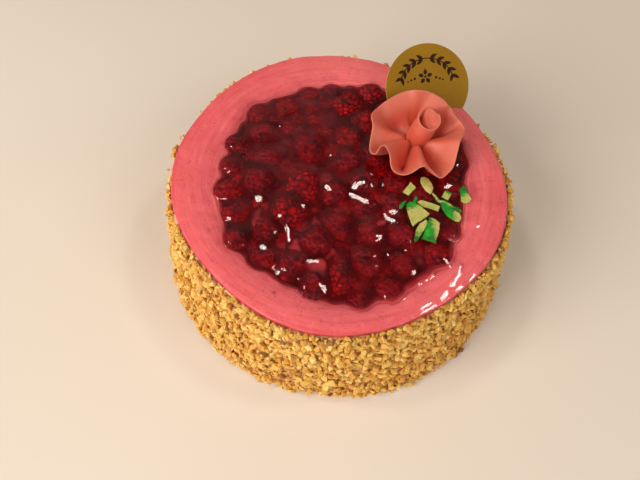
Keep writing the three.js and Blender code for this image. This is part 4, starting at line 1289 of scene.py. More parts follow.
def nuts():
    small = hull_prototypes(24, 5, pts=(7, 9), flat=(0.5, 0.85), long=(1.0, 1.6))
    bits = hull_prototypes(34, 6, pts=(10, 14), flat=(0.62, 0.92), long=(1.0, 1.50), box=0.42)
    round_ = hull_prototypes(22, 8, pts=(12, 16), flat=(0.78, 0.98), long=(1.0, 1.22), box=0.22)

    # a bed of fine crumbs pressed into the cream
    def gaps(p, r):
        q = np.stack([np.cos(p[:, 0]) * 104, np.sin(p[:, 0]) * 104, p[:, 1]], -1)
        d = value_noise(q, 9, 31) * 0.7 + value_noise(q, 3.5, 32) * 0.3
        return d > 0.16 + 0.13 * smooth(40, 66, p[:, 1])

    p = wall_points(2.75, 41, 0.9, 67.8, keep=gaps)
    r = np.random.default_rng(43)
    size = np.clip(np.exp(r.normal(0.0, 0.28, len(p))) * 1.20, 0.6, 2.0)
    a = scatter("nut_crumbs", small, on_wall(p[:, 0], p[:, 1], -2.45 + 0.4 * r.normal(size=len(p)).clip(-1.5, 1.5)),
                wall_normal(p[:, 0]), size, NUTS, 44, tilt=0.5, nodes=("nut_coat",))

    # the chopped pieces themselves
    def most(p, r):
        q = np.stack([np.cos(p[:, 0]) * 104, np.sin(p[:, 0]) * 104, p[:, 1]], -1)
        d = value_noise(q, 7, 35) * 0.65 + value_noise(q, 3.0, 36) * 0.35
        return (d > 0.24 + 0.07 * smooth(45, 66, p[:, 1])) & (r.random(len(p)) < 0.93)

    p = wall_points(3.6, 51, 1.9, 67.2, keep=most)
    r = np.random.default_rng(53)
    size = np.clip(np.exp(r.normal(0.0, 0.26, len(p))) * 2.12, 1.3, 3.2)
    b = scatter("chopped_nuts", bits, on_wall(p[:, 0], p[:, 1], -1.45 + 0.55 * r.normal(size=len(p)).clip(-1.4, 1.4)),
                wall_normal(p[:, 0]), size, NUTS, 54, tilt=0.46, nodes=("nut_coat",))

    # rounder, paler granules towards the top, most of all at the front right
    def upper(p, r):
        front = 0.5 + 0.5 * np.cos(p[:, 0] + math.radians(50))
        prob = (0.12 + 0.74 * front) * smooth(28, 60, p[:, 1]) + 0.06
        return r.random(len(p)) < prob

    p = wall_points(3.9, 71, 3.0, 67.4, keep=upper)
    r = np.random.default_rng(73)
    size = np.clip(np.exp(r.normal(0.0, 0.16, len(p))) * 2.2, 1.5, 2.8)
    c = scatter("nut_granules", round_, on_wall(p[:, 0], p[:, 1], -0.55 + 0.4 * r.normal(size=len(p)).clip(-1.4, 1.4)),
                wall_normal(p[:, 0]), size, NUTS2, 74, tilt=0.6, nodes=("nut_coat",))

    # bits that stand along the top edge and lean on the lip
    r = np.random.default_rng(61)
    th = r.uniform(0, 2 * np.pi, 820)
    th = th[r.random(len(th)) > 0.86 * at_back(th)]
    n = len(th)
    clump = value_noise(np.stack([np.cos(th) * 95, np.sin(th) * 95, 0 * th], -1), 8, 64)
    rad_ = edge_r(th) + r.uniform(0.9, 3.5, n)
    z = 67.9 + 1.2 * clump + r.uniform(-0.9, 0.9, n) - 0.25 * (rad_ - edge_r(th) - 0.9)
    size = np.clip(np.exp(r.normal(0, 0.25, n)) * 1.62, 0.9, 2.4)
    z = np.minimum(z, 70.8 - size * 0.6)
    pos = np.stack([rad_ * np.cos(th), rad_ * np.sin(th), z], -1)
    d = scatter("edge_nuts", bits, pos, wall_normal(th), size, NUTS, 62, tilt=0.9, nodes=("nut_coat",))
    return a, b, c, d


nut_obs = nuts()


# ---------------------------------------------------------------- rose
ROSE_EDGE = [  # free edge of the frill, clockwise from where the strip leaves the roll
    (56.7, 35.9, 94.5), (60.0, 38.0, 93.0), (63.5, 34.6, 90.0), (67.2, 31.9, 88.0),
    (69.4, 27.4, 87.5), (67.9, 21.0, 89.5), (65.3, 15.1, 91.0), (64.3, 10.7, 89.0),
    (63.3, 6.0, 86.5), (62.0, 1.6, 84.0), (59.4, -1.5, 83.0), (55.3, -4.7, 82.0),
    (51.8, -3.5, 84.0), (48.1, -2.0, 86.5), (45.0, -1.7, 88.0), (42.9, -1.6, 86.5),
    (41.1, -1.5, 83.5), (38.6, -1.9, 81.0), (35.5, -2.3, 79.8), (32.3, -1.7, 79.6),
    (29.0, 0.2, 80.2), (27.5, 3.5, 82.0), (26.8, 6.7, 85.0), (24.9, 8.6, 88.0),
    (23.2, 9.9, 89.5), (21.3, 10.7, 88.0), (20.2, 10.3, 85.0), (19.0, 9.5, 82.0),
    (17.0, 10.4, 81.0), (15.8, 12.7, 81.0), (15.8, 17.2, 82.0), (16.6, 23.3, 84.0),
    (16.9, 27.5, 86.5), (15.8, 31.5, 88.5), (19.6, 39.6, 86.5), (24.5, 44.8, 87.0),
    (30.6, 48.8, 88.5), (36.5, 50.3, 90.5), (42.3, 49.7, 92.5), (48.8, 50.4, 91.0),
    (54.5, 48.4, 90.0), (58.8, 45.1, 89.5), (61.1, 40.9, 89.0),
]
# folds between neighbouring creases: crease, crest, crease (places along the edge), height near the roll and halfway out
FOLDS = [(-3.0, 0.2, 3.3, 2.0, 1.2), (3.3, 4.9, 11.9, 4.8, 3.6), (11.9, 14.2, 18.6, 4.8, 4.4), (18.6, 24.2, 28.0, 5.0, 4.0),
         (28.0, 31.0, 33.6, 3.8, 2.4), (33.6, 35.8, 38.4, 1.5, 4.0), (38.4, 40.6, 44.5, 3.4, 2.6)]
# where each place along the edge starts at the roll, in degrees round its foot
FOOT = [(-1.0, 62), (0.0, 46), (1.5, 28), (3.3, -8), (4.9, -50), (11.9, -66), (14.2, -92), (18.6, -120), (24.2, -142), (28.0, -160),
        (31.0, -182), (33.6, -224), (35.8, -242), (38.4, -263), (40.6, -280), (43.0, -298)]
# pockets pressed deeper between two folds: place along the edge, half width, depth, how far out
POCKETS = [(19.4, 2.2, 2.6, 0.62), (3.2, 1.0, 2.4, 0.34), (11.6, 1.4, 1.6, 0.50), (37.6, 1.0, 1.8, 0.30), (33.4, 1.0, 1.2, 0.35), (34.9, 1.5, 1.6, 0.42)]
ROSE_C = np.array([43.3, 25.4])      # middle of the pinched ring
MOUTH_C = np.array([48.3, 25.9])
START, LEAVE = 432.0, 62.0


def catmull(P, n):
    P = np.asarray(P, float)
    d = np.linalg.norm(np.diff(P[:, :3], axis=0), axis=1) ** 0.75
    t = np.concatenate([[0], np.cumsum(d)])
    m = np.zeros_like(P)
    m[1:-1] = ((P[2:] - P[1:-1]) / (t[2:] - t[1:-1])[:, None] * (t[1:-1] - t[:-2])[:, None] +
               (P[1:-1] - P[:-2]) / (t[1:-1] - t[:-2])[:, None] * (t[2:] - t[1:-1])[:, None]) / (t[2:] - t[:-2])[:, None]
    m[0] = (P[1] - P[0]) / (t[1] - t[0])
    m[-1] = (P[-1] - P[-2]) / (t[-1] - t[-2])
    u = np.linspace(0, t[-1], n)
    k = np.clip(np.searchsorted(t, u, side="right") - 1, 0, len(t) - 2)
    h = (t[k + 1] - t[k])[:, None]
    x = ((u - t[k]) / (t[k + 1] - t[k]))[:, None]
    h00, h10 = 2 * x ** 3 - 3 * x ** 2 + 1, x ** 3 - 2 * x ** 2 + x
    h01, h11 = -2 * x ** 3 + 3 * x ** 2, x ** 3 - x ** 2
    return h00 * P[k] + h10 * h * m[k] + h01 * P[k + 1] + h11 * h * m[k + 1]


def fold_at(q):
    """Round folds with narrow creases between them; q is the place along the frill's edge."""
    near, far, arch = np.zeros_like(q), np.zeros_like(q), np.zeros_like(q)
    for a, c, b, hn, hf in FOLDS:
        sel = (q >= a) & (q < b)
        x = np.where(q < c, 0.5 * (q - a) / (c - a), 0.5 + 0.5 * (q - c) / (b - c))
        g = np.sin(np.pi * np.clip(x, 0, 1))
        near = np.where(sel, g ** 0.85 * hn, near)
        far = np.where(sel, (0.35 * g + 0.65 * g * g) * hf, far)
        arch = np.where(sel, g, arch)
    return near, far, arch


def rose():
    st = []
    phis = np.arange(START, LEAVE - 1, -20.0)
    for phi in phis:
        a = math.radians(phi)
        r = 7.1 - 1.6 * (phi - LEAVE) / 360.0
        peak = math.exp(-((((phi - 98) + 180) % 360 - 180) / 26) ** 2)
        top = np.array([MOUTH_C[0] + r * 0.96 * math.cos(a), MOUTH_C[1] + r * 1.03 * math.sin(a) + 0.5 * peak, 95.2 + 1.4 * math.sin(a) + 0.7 * peak])
        if phi > LEAVE + 330:
            top[2] -= 1.2
        rb = r * 0.86
        st.append([*top, ROSE_C[0] + rb * math.cos(a), ROSE_C[1] + rb * math.sin(a), 75.6, -1.0, 0.0])
    for k, (x, y, z) in enumerate(ROSE_EDGE):
        a = math.radians(np.interp(k, [f[0] for f in FOOT], [f[1] for f in FOOT]))
        st.append([x, y, z, ROSE_C[0] + 6.4 * math.cos(a), ROSE_C[1] + 6.4 * math.sin(a), 75.6, float(k), 1.0])
    st = np.array(st)
    st[: len(phis), 6] = np.linspace(-len(phis) * 1.0, -1.0, len(phis))
    nt = 900
    S = catmull(st, nt)
    T, B, q, frill = S[:, :3].copy(), S[:, 3:6].copy(), S[:, 6], smooth(0.0, 1.0, S[:, 7])
    near, far, arch = fold_at(q)
    frill = frill * smooth(-0.5, 2.5, q)
    sv = np.array([0, .03, .07, .12, .17, .22, .28, .34, .40, .46, .52, .58, .64, .70, .76, .82, .87, .91, .94, .965, .985, 1.0])
    ns = len(sv)
    B[:, 2] += frill * (near * 0.75 - 0.4)
    # lift over the straight line from foot to edge: creases sag, folds swell
    z_in = frill * (-3.0 + near * 1.00)
    z_out = frill * (-3.4 + far * 1.05)
    w_in = np.interp(sv, [0, .10, .24, .52, .85, 1], [0, .85, 1.0, .45, .1, 0])
    w_out = np.interp(sv, [0, .12, .28, .55, .82, 1], [0, .10, .38, 1.0, .62, 0])
    # soften the interpolated weights
    for w in (w_in, w_out):
        w[1:-1] = (w[:-2] + 2 * w[1:-1] + w[2:]) / 4
    P = B[:, None] * (1 - sv)[None, :, None] + T[:, None] * sv[None, :, None]
    P[:, :, 2] += z_in[:, None] * w_in[None] + z_out[:, None] * w_out[None]
    pocket = np.zeros((nt, ns))
    for qc, wd, depth, at in POCKETS:
        g = np.exp(-((q - qc) / wd) ** 2)[:, None] * np.exp(-((sv - at) / 0.22) ** 2)[None]
        P[:, :, 2] -= frill[:, None] * depth * g
        pocket = np.maximum(pocket, frill[:, None] * g)
    # the roll is a rounded barrel that narrows at its foot and opens slightly at its mouth
    out = P[:, :, :2] - (B[:, None, :2] * (1 - sv)[None, :, None] + T[:, None, :2] * sv[None, :, None])
    cen = ROSE_C[None, None] * (1 - sv)[None, :, None] + MOUTH_C[None, None] * sv[None, :, None]
    rel = P[:, :, :2] - cen
    barrel = 1 + 0.10 * np.sin(np.pi * np.clip(sv / 0.75, 0, 1)) - 0.05 * np.exp(-((sv - 0.86) / 0.1) ** 2) + 0.05 * smooth(0.9, 1.0, sv)
    k = (1 - frill)[:, None, None]
    P[:, :, :2] = cen + rel * (1 + (barrel[None, :, None] - 1) * k)
    # smooth once along the strip so that creases keep a small radius
    for _ in range(26):
        P[1:-1] = (P[:-2] + 2 * P[1:-1] + P[2:]) / 4
    du = np.gradient(P, axis=0)
    dv = np.gradient(P, sv, axis=1)
    N = np.cross(du, dv)
    N /= np.linalg.norm(N, axis=2)[..., None] + 1e-9
    thick = np.interp(sv, [0, 0.6, 0.95, 1], [1.6, 1.3, 0.95, 0.7])[None, :, None] * 0.5
    A, Bk = P + N * thick, P - N * thick
    tip = P[:, -1] - P[:, -2]
    rim = P[:, -1] + tip / (np.linalg.norm(tip, axis=1)[:, None] + 1e-9) * 0.30
    V = np.concatenate([A.reshape(-1, 3), Bk.reshape(-1, 3), rim])
    a0, b0, r0 = 0, nt * ns, 2 * nt * ns
    i = np.arange(nt - 1)[:, None]
    j = np.arange(ns - 1)[None, :]
    fa = np.stack([a0 + i * ns + j, a0 + (i + 1) * ns + j, a0 + (i + 1) * ns + j + 1, a0 + i * ns + j + 1], -1).reshape(-1, 4)
    fb = np.stack([b0 + i * ns + j, b0 + i * ns + j + 1, b0 + (i + 1) * ns + j + 1, b0 + (i + 1) * ns + j], -1).reshape(-1, 4)
    i = np.arange(nt - 1)
    e1 = np.stack([a0 + i * ns + ns - 1, a0 + (i + 1) * ns + ns - 1, r0 + i + 1, r0 + i], -1)
    e2 = np.stack([r0 + i, r0 + i + 1, b0 + (i + 1) * ns + ns - 1, b0 + i * ns + ns - 1], -1)
    foot = np.stack([a0 + i * ns, b0 + i * ns, b0 + (i + 1) * ns, a0 + (i + 1) * ns], -1)
    j = np.arange(ns - 1)
    c1 = np.stack([a0 + j, a0 + j + 1, b0 + j + 1, b0 + j], -1)
    w = (nt - 1) * ns
    c2 = np.stack([a0 + w + j, b0 + w + j, b0 + w + j + 1, a0 + w + j + 1], -1)
    t1 = np.array([[a0 + ns - 1, r0, b0 + ns - 1]])
    t2 = np.array([[a0 + w + ns - 1, b0 + w + ns - 1, r0 + nt - 1]])
    # painted shade: darker in the creases, the pockets, near the foot and on the strip's inner turns inside the roll
    painted_shade = (frill * (1 - arch) ** 1.5)[:, None] * np.interp(sv, [0, .1, .5, .8, 1], [0.8, 0.8, .5, .2, 0])[None]
    painted_shade = np.maximum(painted_shade, pocket)
    painted_shade = np.maximum(painted_shade, (frill[:, None] * np.interp(sv, [0, .06, .16, 1], [1, .7, 0, 0])[None]))
    inside = smooth(LEAVE + 100, LEAVE + 180, np.interp(q, [-len(phis), -1.0], [START, LEAVE]))[:, None] * np.interp(sv, [0, .5, .9, 1], [1, .9, .3, .1])[None]
    painted_shade = np.maximum(painted_shade, inside * 0.7)
    # paler towards the free edge (the thin attribute): painted glow of light passing through the thin marzipan
    edge = np.tile(0.75 * smooth(0.50, 0.97, sv) + 0.25 * smooth(0.90, 1.0, sv), (nt, 1))
    painted_shade = np.concatenate([painted_shade.ravel(), painted_shade.ravel(), np.zeros(nt)])
    edge = np.concatenate([edge.ravel(), edge.ravel(), np.ones(nt)])
    ob = make("marzipan_rose", V, [np.concatenate([fa, fb, e1, e2, foot, c1, c2]), np.concatenate([t1, t2])], MARZ,
              attrs={"painted_shade": painted_shade, "thin": edge})
    bm = bmesh.new()
    bm.from_mesh(ob.data)
    bmesh.ops.recalc_face_normals(bm, faces=bm.faces[:])
    bm.to_mesh(ob.data)
    bm.free()
    place(ob, "rose", slot="marzipan")
    # the strip's inner end fills the mouth: high on the right, falling away to the left
    nt1, rows = 72, []
    th = np.linspace(0, 2 * np.pi, nt1, endpoint=False)
    lay = 7.1 - 1.6 * np.mod(np.degrees(th) - LEAVE, 360.0) / 360.0
    for _ in range(30):
        lay = np.minimum(lay, (np.roll(lay, 1) + 2 * lay + np.roll(lay, -1)) / 4)
    side = smooth(-0.5, 0.4, np.cos(th - 0.35))
    peak = np.exp(-((np.mod(np.degrees(th) - 98 + 180, 360) - 180) / 26) ** 2)
    for f in (1.0, 0.95, 0.88, 0.78, 0.64, 0.46, 0.24):
        rr = (lay - 0.55 + 0.50 * side) * f
        px, py = rr * 0.96 * np.cos(th), rr * 1.03 * np.sin(th)
        t = np.clip((px * math.cos(0.35) + py * math.sin(0.35)) / 5.6, -1, 1)
        z = 95.15 + 1.4 * py / 6.3 + 0.7 * peak * f ** 4 - 6.6 * np.clip((0.85 - t) / 1.85, 0, 1) ** 1.8 - 1.0 * (1 - f ** 2) * side - 1.3 * np.clip(-py / 6.3 - 0.15, 0, 1) - 0.25 * (1 - side)
        rows.append(np.stack([MOUTH_C[0] + px, MOUTH_C[1] + py, z], -1))
    for f, z in ((0.8, 86.0), (0.3, 86.0)):
        rows.insert(0, np.stack([MOUTH_C[0] - 0.8 + 5.4 * f * np.cos(th), MOUTH_C[1] + 5.4 * f * np.sin(th), np.full(nt1, z)], -1)) if f > 0.5 else \
            rows.insert(0, np.stack([MOUTH_C[0] - 0.8 + 5.4 * f * np.cos(th), MOUTH_C[1] + 5.4 * f * np.sin(th), np.full(nt1, z)], -1))
    top = rows[-1].mean(0)
    V = np.concatenate(rows + [[[MOUTH_C[0] - 0.8, MOUTH_C[1], 86.0], top]])
    # painted shade, deeper down in the mouth
    dp = np.zeros((len(rows), nt1))
    dp[:] = np.clip((94.0 - np.stack([q[:, 2] for q in rows])) / 5.0, 0, 1)
    ft = make("rose_heart", V, ring_faces(len(rows), nt1, len(V) - 2, len(V) - 1), MARZ,
              attrs={"painted_shade": np.concatenate([dp.ravel() ** 1.5, [1.0, 0.2]]), "thin": np.zeros(len(V))})
    place(ft, "rose", slot="marzipan")
    # pressed foot under the rose
    nt2 = 64
    th = np.linspace(0, 2 * np.pi, nt2, endpoint=False)
    rows = []
    for r, z in [(1.5, 78.6), (4.6, 78.3), (6.2, 77.0), (6.6, 75.6), (6.3, 73.6), (6.8, 71.6), (7.2, 70.5), (6.6, 70.2)]:
        w = 1 + 0.05 * np.sin(5 * th + z)
        rows.append(np.stack([ROSE_C[0] + 0.3 + r * w * np.cos(th), ROSE_C[1] - 0.2 + r * w * np.sin(th), np.full(nt2, z)], -1))
    V = np.concatenate(rows + [np.array([[ROSE_C[0], ROSE_C[1], 78.6], [ROSE_C[0], ROSE_C[1], 70.2]])])
    # painted shade over the whole foot, which sits under the rose
    ft = make("rose_foot", V, ring_faces(len(rows), nt2, len(V) - 2, len(V) - 1), MARZ, attrs={"painted_shade": np.full(len(V), 0.9), "thin": np.zeros(len(V))})
    place(ft, "rose", slot="marzipan")
    return ob


rose_ob = rose()


# ---------------------------------------------------------------- gold disc
def tag_frame():
    tl, tn = math.radians(TAG["tilt"]), math.radians(TAG["turn"])
    n = Vector((math.sin(tn) * math.cos(tl), -math.cos(tn) * math.cos(tl), math.sin(tl)))
    up = Vector((0, 0, 1)) - n * n.z
    up.normalize()
    right = up.cross(n)
    return np.array(right), np.array(up), np.array(n), np.array([TAG["x"], TAG["y"], TAG["z"]])


def bend(u, v):
    """Slight bow of the card, in mm along its normal."""
    return 0.35 * (u / 26) ** 2 - 0.15 * (v / 26) ** 2


def gold_tag():
    R, U, N, C = tag_frame()
    nt, nr = 160, 14
    th = np.linspace(0, 2 * np.pi, nt, endpoint=False)
    rows, half = [], 0.27
    rr = TAG["r"] - 0.15
    prof = [(f * rr, half) for f in np.linspace(0.06, 0.985, nr)] + [(rr - 0.12, half * 0.95), (rr, half * 0.55), (rr + 0.05, 0.0), (rr, -half * 0.7)] + \
           [(f * rr, -half) for f in (0.985, 0.6, 0.2)]
    for r, h in prof:
        u, v = r * np.cos(th), r * np.sin(th)
        rows.append(C + u[:, None] * R + v[:, None] * U + (h + bend(u, v) - 0.1)[:, None] * N)
    V = np.concatenate(rows + [(C + (half - 0.1) * N)[None], (C - (half + 0.1) * N)[None]])
    F = ring_faces(len(rows), nt, len(V) - 2, len(V) - 1)
    ob = make("gold_disc", V, F, [GOLD, CARD])
    # the cut edge and the back show the pale card
    k = np.zeros(len(ob.data.polygons), np.int32)
    k[(nr + 1) * nt: (len(rows) - 1) * nt] = 1
    k[-nt:] = 1
    ob.data.polygons.foreach_set("material_index", k)
    place(ob, "gold_tag", slot="gold")
    return ob


tag_ob = gold_tag()


def garland():
    """A plain printed garland: one arc of paired leaves with dots between, and a small blossom under it."""
    R, U, N, C = tag_frame()
    VS, FS, off = [], [], 0

    def lift(u, v, h):
        return C + u * R + v * U + (0.27 + bend(u, v) - 0.1 + h) * N

    def flat(poly):
        nonlocal off
        poly = np.asarray(poly, float)
        n = len(poly)
        c = poly.mean(0)
        VS.extend([lift(u, v, 0.07) for u, v in poly] + [lift(u, v, -0.05) for u, v in poly] + [lift(c[0], c[1], 0.07), lift(c[0], c[1], -0.05)])
        for i in range(n):
            j = (i + 1) % n
            FS.append([off + i, off + j, off + 2 * n])
            FS.append([off + n + j, off + n + i, off + 2 * n + 1])
            FS.append([off + n + i, off + n + j, off + j])
            FS.append([off + n + i, off + j, off + i])
        off += 2 * n + 2

    def leaf(x, y, a, L, W):
        t = np.linspace(0, 1, 10)
        w = W / 2 * np.sin(np.pi * t ** 0.85) ** 0.9
        p = np.concatenate([np.stack([t * L, -w], -1), np.stack([t[::-1] * L, w[::-1]], -1)[1:-1]])
        c, s = math.cos(a), math.sin(a)
        flat(np.stack([x + p[:, 0] * c - p[:, 1] * s, y + p[:, 0] * s + p[:, 1] * c], -1))

    def dot(x, y, r):
        a = np.linspace(0, 2 * np.pi, 12, endpoint=False)
        flat(np.stack([x + r * np.cos(a), y + r * np.sin(a)], -1))

    rad_, n = 17.2, 40
    a = np.radians(np.linspace(164, 16, n + 1))
    for k in range(n):
        w = 0.32
        p = [((rad_ + q) * math.cos(b), (rad_ + q) * math.sin(b)) for b, q in ((a[k], -w), (a[k + 1], -w), (a[k + 1], w), (a[k], w))]
        flat(p)
    for k in range(2, n - 1, 4):
        b = a[k]
        x, y = rad_ * math.cos(b), rad_ * math.sin(b)
        side = 1 if b < math.pi / 2 else -1      # leaves point away from the top on both halves
        ahead = b - side * math.pi / 2
        if abs(b - math.pi / 2) < 0.06:
            dot(x, y, 1.35)
            continue
        leaf(x, y, ahead + 0.62, 5.2, 2.1)
        leaf(x, y, ahead - 0.62, 4.6, 1.9)
    # blossom of five petals in the middle of the free face
    cx, cy = -1.0, 6.4
    for k in range(5):
        b = math.radians(90 + 72 * k)
        leaf(cx + 1.15 * math.cos(b), cy + 1.15 * math.sin(b), b, 3.5, 2.3)
    dot(cx, cy, 0.75)
    for s in (-1, 1):
        for q in (6.6, 8.9, 10.9):
            dot(cx + s * q, cy - 0.02 * q * q, 0.78 - 0.05 * (q - 6.6))
    ob = make("disc_garland", np.array(VS), np.array(FS), INK, smooth_shade=False)
    place(ob, slot="gold")
    return ob


garland_ob = garland()


# ---------------------------------------------------------------- almond chips
# node number or None, middle x, y, thickness, dye direction and offset, outline about the middle
CHIPS = [
    (1, 49.1, -4.2, 1.25, (0.0, 0.0, -0.75), [(-3.3, 4.7), (-1.1, 5.5), (1.0, 4.3), (2.7, 1.3), (3.6, -1.9), (2.6, -5.4), (1.6, -6.1), (-0.8, -4.1), (-2.6, -0.7), (-3.6, 2.4)]),
    (2, 62.0, -21.7, 1.3, (-0.10, 0.035, 0.22), [(-6.0, 6.6), (-3.5, 6.4), (0.4, 3.2), (4.8, -0.7), (5.5, -3.3), (4.0, -5.8), (1.5, -5.3), (-2.0, -2.7), (-4.6, 1.6)]),
    (3, 70.5, -9.6, 1.3, (-0.05, 0.16, -0.05), [(-2.8, 4.0), (-0.6, 6.6), (0.7, 4.9), (1.4, 1.7), (3.6, -2.3), (2.2, -4.5), (-0.1, -5.2), (-2.1, -4.2), (-2.4, -1.1)]),
    (4, 41.9, -23.3, 1.4, (-0.05, 0.12, -0.42), [(-4.8, 5.1), (-3.2, 6.7), (-0.1, 6.4), (2.2, 4.8), (7.8, -0.7), (6.3, -2.7), (0.7, -6.8), (-1.5, -9.1), (-3.1, -4.3), (-4.3, 0.5)]),
    (5, 50.2, -34.0, 1.5, (-0.15, -0.03, 0.20), [(-0.8, 7.6), (2.1, 6.9), (5.0, 4.4), (4.1, -1.4), (1.8, -8.1), (-1.7, -6.9), (-5.4, -5.7), (-3.3, -0.7), (-1.8, 3.9)]),
    (6, 49.6, -17.9, 1.2, (-0.02, 0.02, -0.38), [(-6.3, 1.7), (-4.6, 2.9), (-2.3, 2.4), (3.8, 0.5), (6.4, -0.5), (5.1, -3.7), (1.8, -2.2), (-3.9, -1.2)]),
    (7, 44.5, -34.3, 1.3, (-0.04, -0.07, -0.25), [(2.9, 7.0), (4.0, 6.0), (3.3, 3.1), (0.5, -2.2), (-1.6, -5.9), (-3.2, -7.5), (-3.5, -5.6), (-2.4, 0.6), (0.0, 4.6)]),
    (None, 39.3, -7.7, 1.3, (0.05, 0.0, -0.38), [(0.7, 4.9), (3.6, 1.2), (-0.6, -4.0), (-3.8, -2.1)]),
    (None, 60.3, -10.2, 1.2, (0.12, 0.12, -0.20), [(-0.5, 3.1), (2.9, 1.2), (0.5, -3.2), (-3.0, -1.1)]),
    (None, 42.4, -14.9, 1.0, (0.0, 0.0, 0.35), [(-1.6, -1.2), (0.1, 2.9), (1.3, 1.8), (0.8, -0.8), (-0.6, -2.6)]),
    (None, 35.0, -18.4, 1.0, (0.0, 0.10, 0.25), [(-1.7, -2.8), (-1.9, -0.6), (0.3, 2.2), (2.3, 3.0), (1.3, 0.4), (-0.3, -2.1)]),
    (None, 66.1, -19.3, 1.0, (0.0, 0.0, 0.45), [(-1.7, 2.2), (0.5, 1.1), (2.0, -0.9), (0.3, -2.1), (-1.2, -0.3)]),
]
STACK = {4: 0.5, 5: 0.9, 7: 0.2, 6: 0.5, 2: 0.2}     # how far a chip that lies on others is raised
SLIVER = [(52.0, -9.9), (53.6, -11.8), (55.5, -14.7), (58.4, -15.1), (61.6, -17.0), (64.8, -19.3), (67.7, -20.6)]


def rest_plane(x, y, poly):
    """Plane on which a flat chip comes to rest: least-squares to the film, raised until it clears."""
    gx, gy = np.meshgrid(np.linspace(-8, 8, 17), np.linspace(-10, 10, 21))
    p = np.stack([gx.ravel(), gy.ravel()], -1)
    q = np.asarray(poly)
    inside = np.ones(len(p), bool)
    for i in range(len(q)):
        a, b = q[i], q[(i + 1) % len(q)]
        side = (b[0] - a[0]) * (p[:, 1] - a[1]) - (b[1] - a[1]) * (p[:, 0] - a[0])
        area = sum(q[k][0] * q[(k + 1) % len(q)][1] - q[(k + 1) % len(q)][0] * q[k][1] for k in range(len(q)))
        inside &= side * (1 if area > 0 else -1) > -0.4
    p = np.concatenate([p[inside], q])
    h = sample(FILM, x + p[:, 0], y + p[:, 1])
    w = np.exp((h - h.max()) * 0.6)[:, None]
    A = np.concatenate([p, np.ones((len(p), 1))], 1)
    sol = np.linalg.lstsq(A * w, h * w[:, 0], rcond=None)[0]
    sol[:2] = np.clip(sol[:2], -0.30, 0.30)
    sol[2] = (h - p @ sol[:2]).max() - 0.25
    return sol


def chip_geo(poly, thick, seed):
    """A chopped slab: knife-cut sides, a slightly hollow or crowned face, and crumbly corners."""
    r = np.random.default_rng(seed)
    poly = np.asarray(poly, float)
    n = len(poly)
    area = sum(poly[k][0] * poly[(k + 1) % n][1] - poly[(k + 1) % n][0] * poly[k][1] for k in range(n))
    if area < 0:
        poly = poly[::-1]
    fine = []
    for k in range(n):
        a, b = poly[k], poly[(k + 1) % n]
        m = max(2, int(np.linalg.norm(b - a) / 0.75))
        for j in range(m):
            p = lerp(a, b, j / m)
            if j:
                d = (b - a) / (np.linalg.norm(b - a) + 1e-9)
                p = p + np.array([-d[1], d[0]]) * r.normal(0, 0.10)
            fine.append(p)
    fine = np.array(fine)
    m = len(fine)
    levels = [(0.90, 0.0), (0.985, 0.12), (1.0, 0.3), (0.985, 0.8), (0.965, 0.93), (0.93, 1.0)]
    rings = [f for f in (0.80, 0.62, 0.42, 0.2)]
    slant = r.normal(0, 0.07, 2)
    crown = r.uniform(-0.16, 0.22)
    rows = []
    for s, h in levels:
        q = fine * s + slant * h * thick * (np.abs(fine) > 0)
        z = h * thick * (1 + 0.10 * value_noise(np.concatenate([fine, np.full((m, 1), seed * 1.0)], 1), 1.5, 77) - 0.05)
        rows.append(np.concatenate([q, np.reshape(z, (-1, 1))], 1))
    for s in rings:
        q = fine * s * 0.93 + slant * thick
        z = thick * (1 + crown * (1 - s ** 2)) + (value_noise(np.concatenate([q * 1.0, np.full((m, 1), seed * 1.0)], 1), 1.1, 78) - 0.5) * 0.24
        rows.append(np.concatenate([q, np.reshape(z, (-1, 1))], 1))
    V = np.concatenate(rows + [np.array([[slant[0] * thick, slant[1] * thick, thick * (1 + crown)]]), np.array([[0, 0, 0.0]])])
    quads, tris = [], []
    k = len(rows)
    F = ring_faces(k, m)[0]
    i = np.arange(m)
    j = (i + 1) % m
    T1 = np.stack([np.full(m, k * m), (k - 1) * m + i, (k - 1) * m + j], -1)
    T2 = np.stack([np.full(m, k * m + 1), j, i], -1)
    F = F[:, ::-1]
    return V, [F, np.concatenate([T1, T2])]


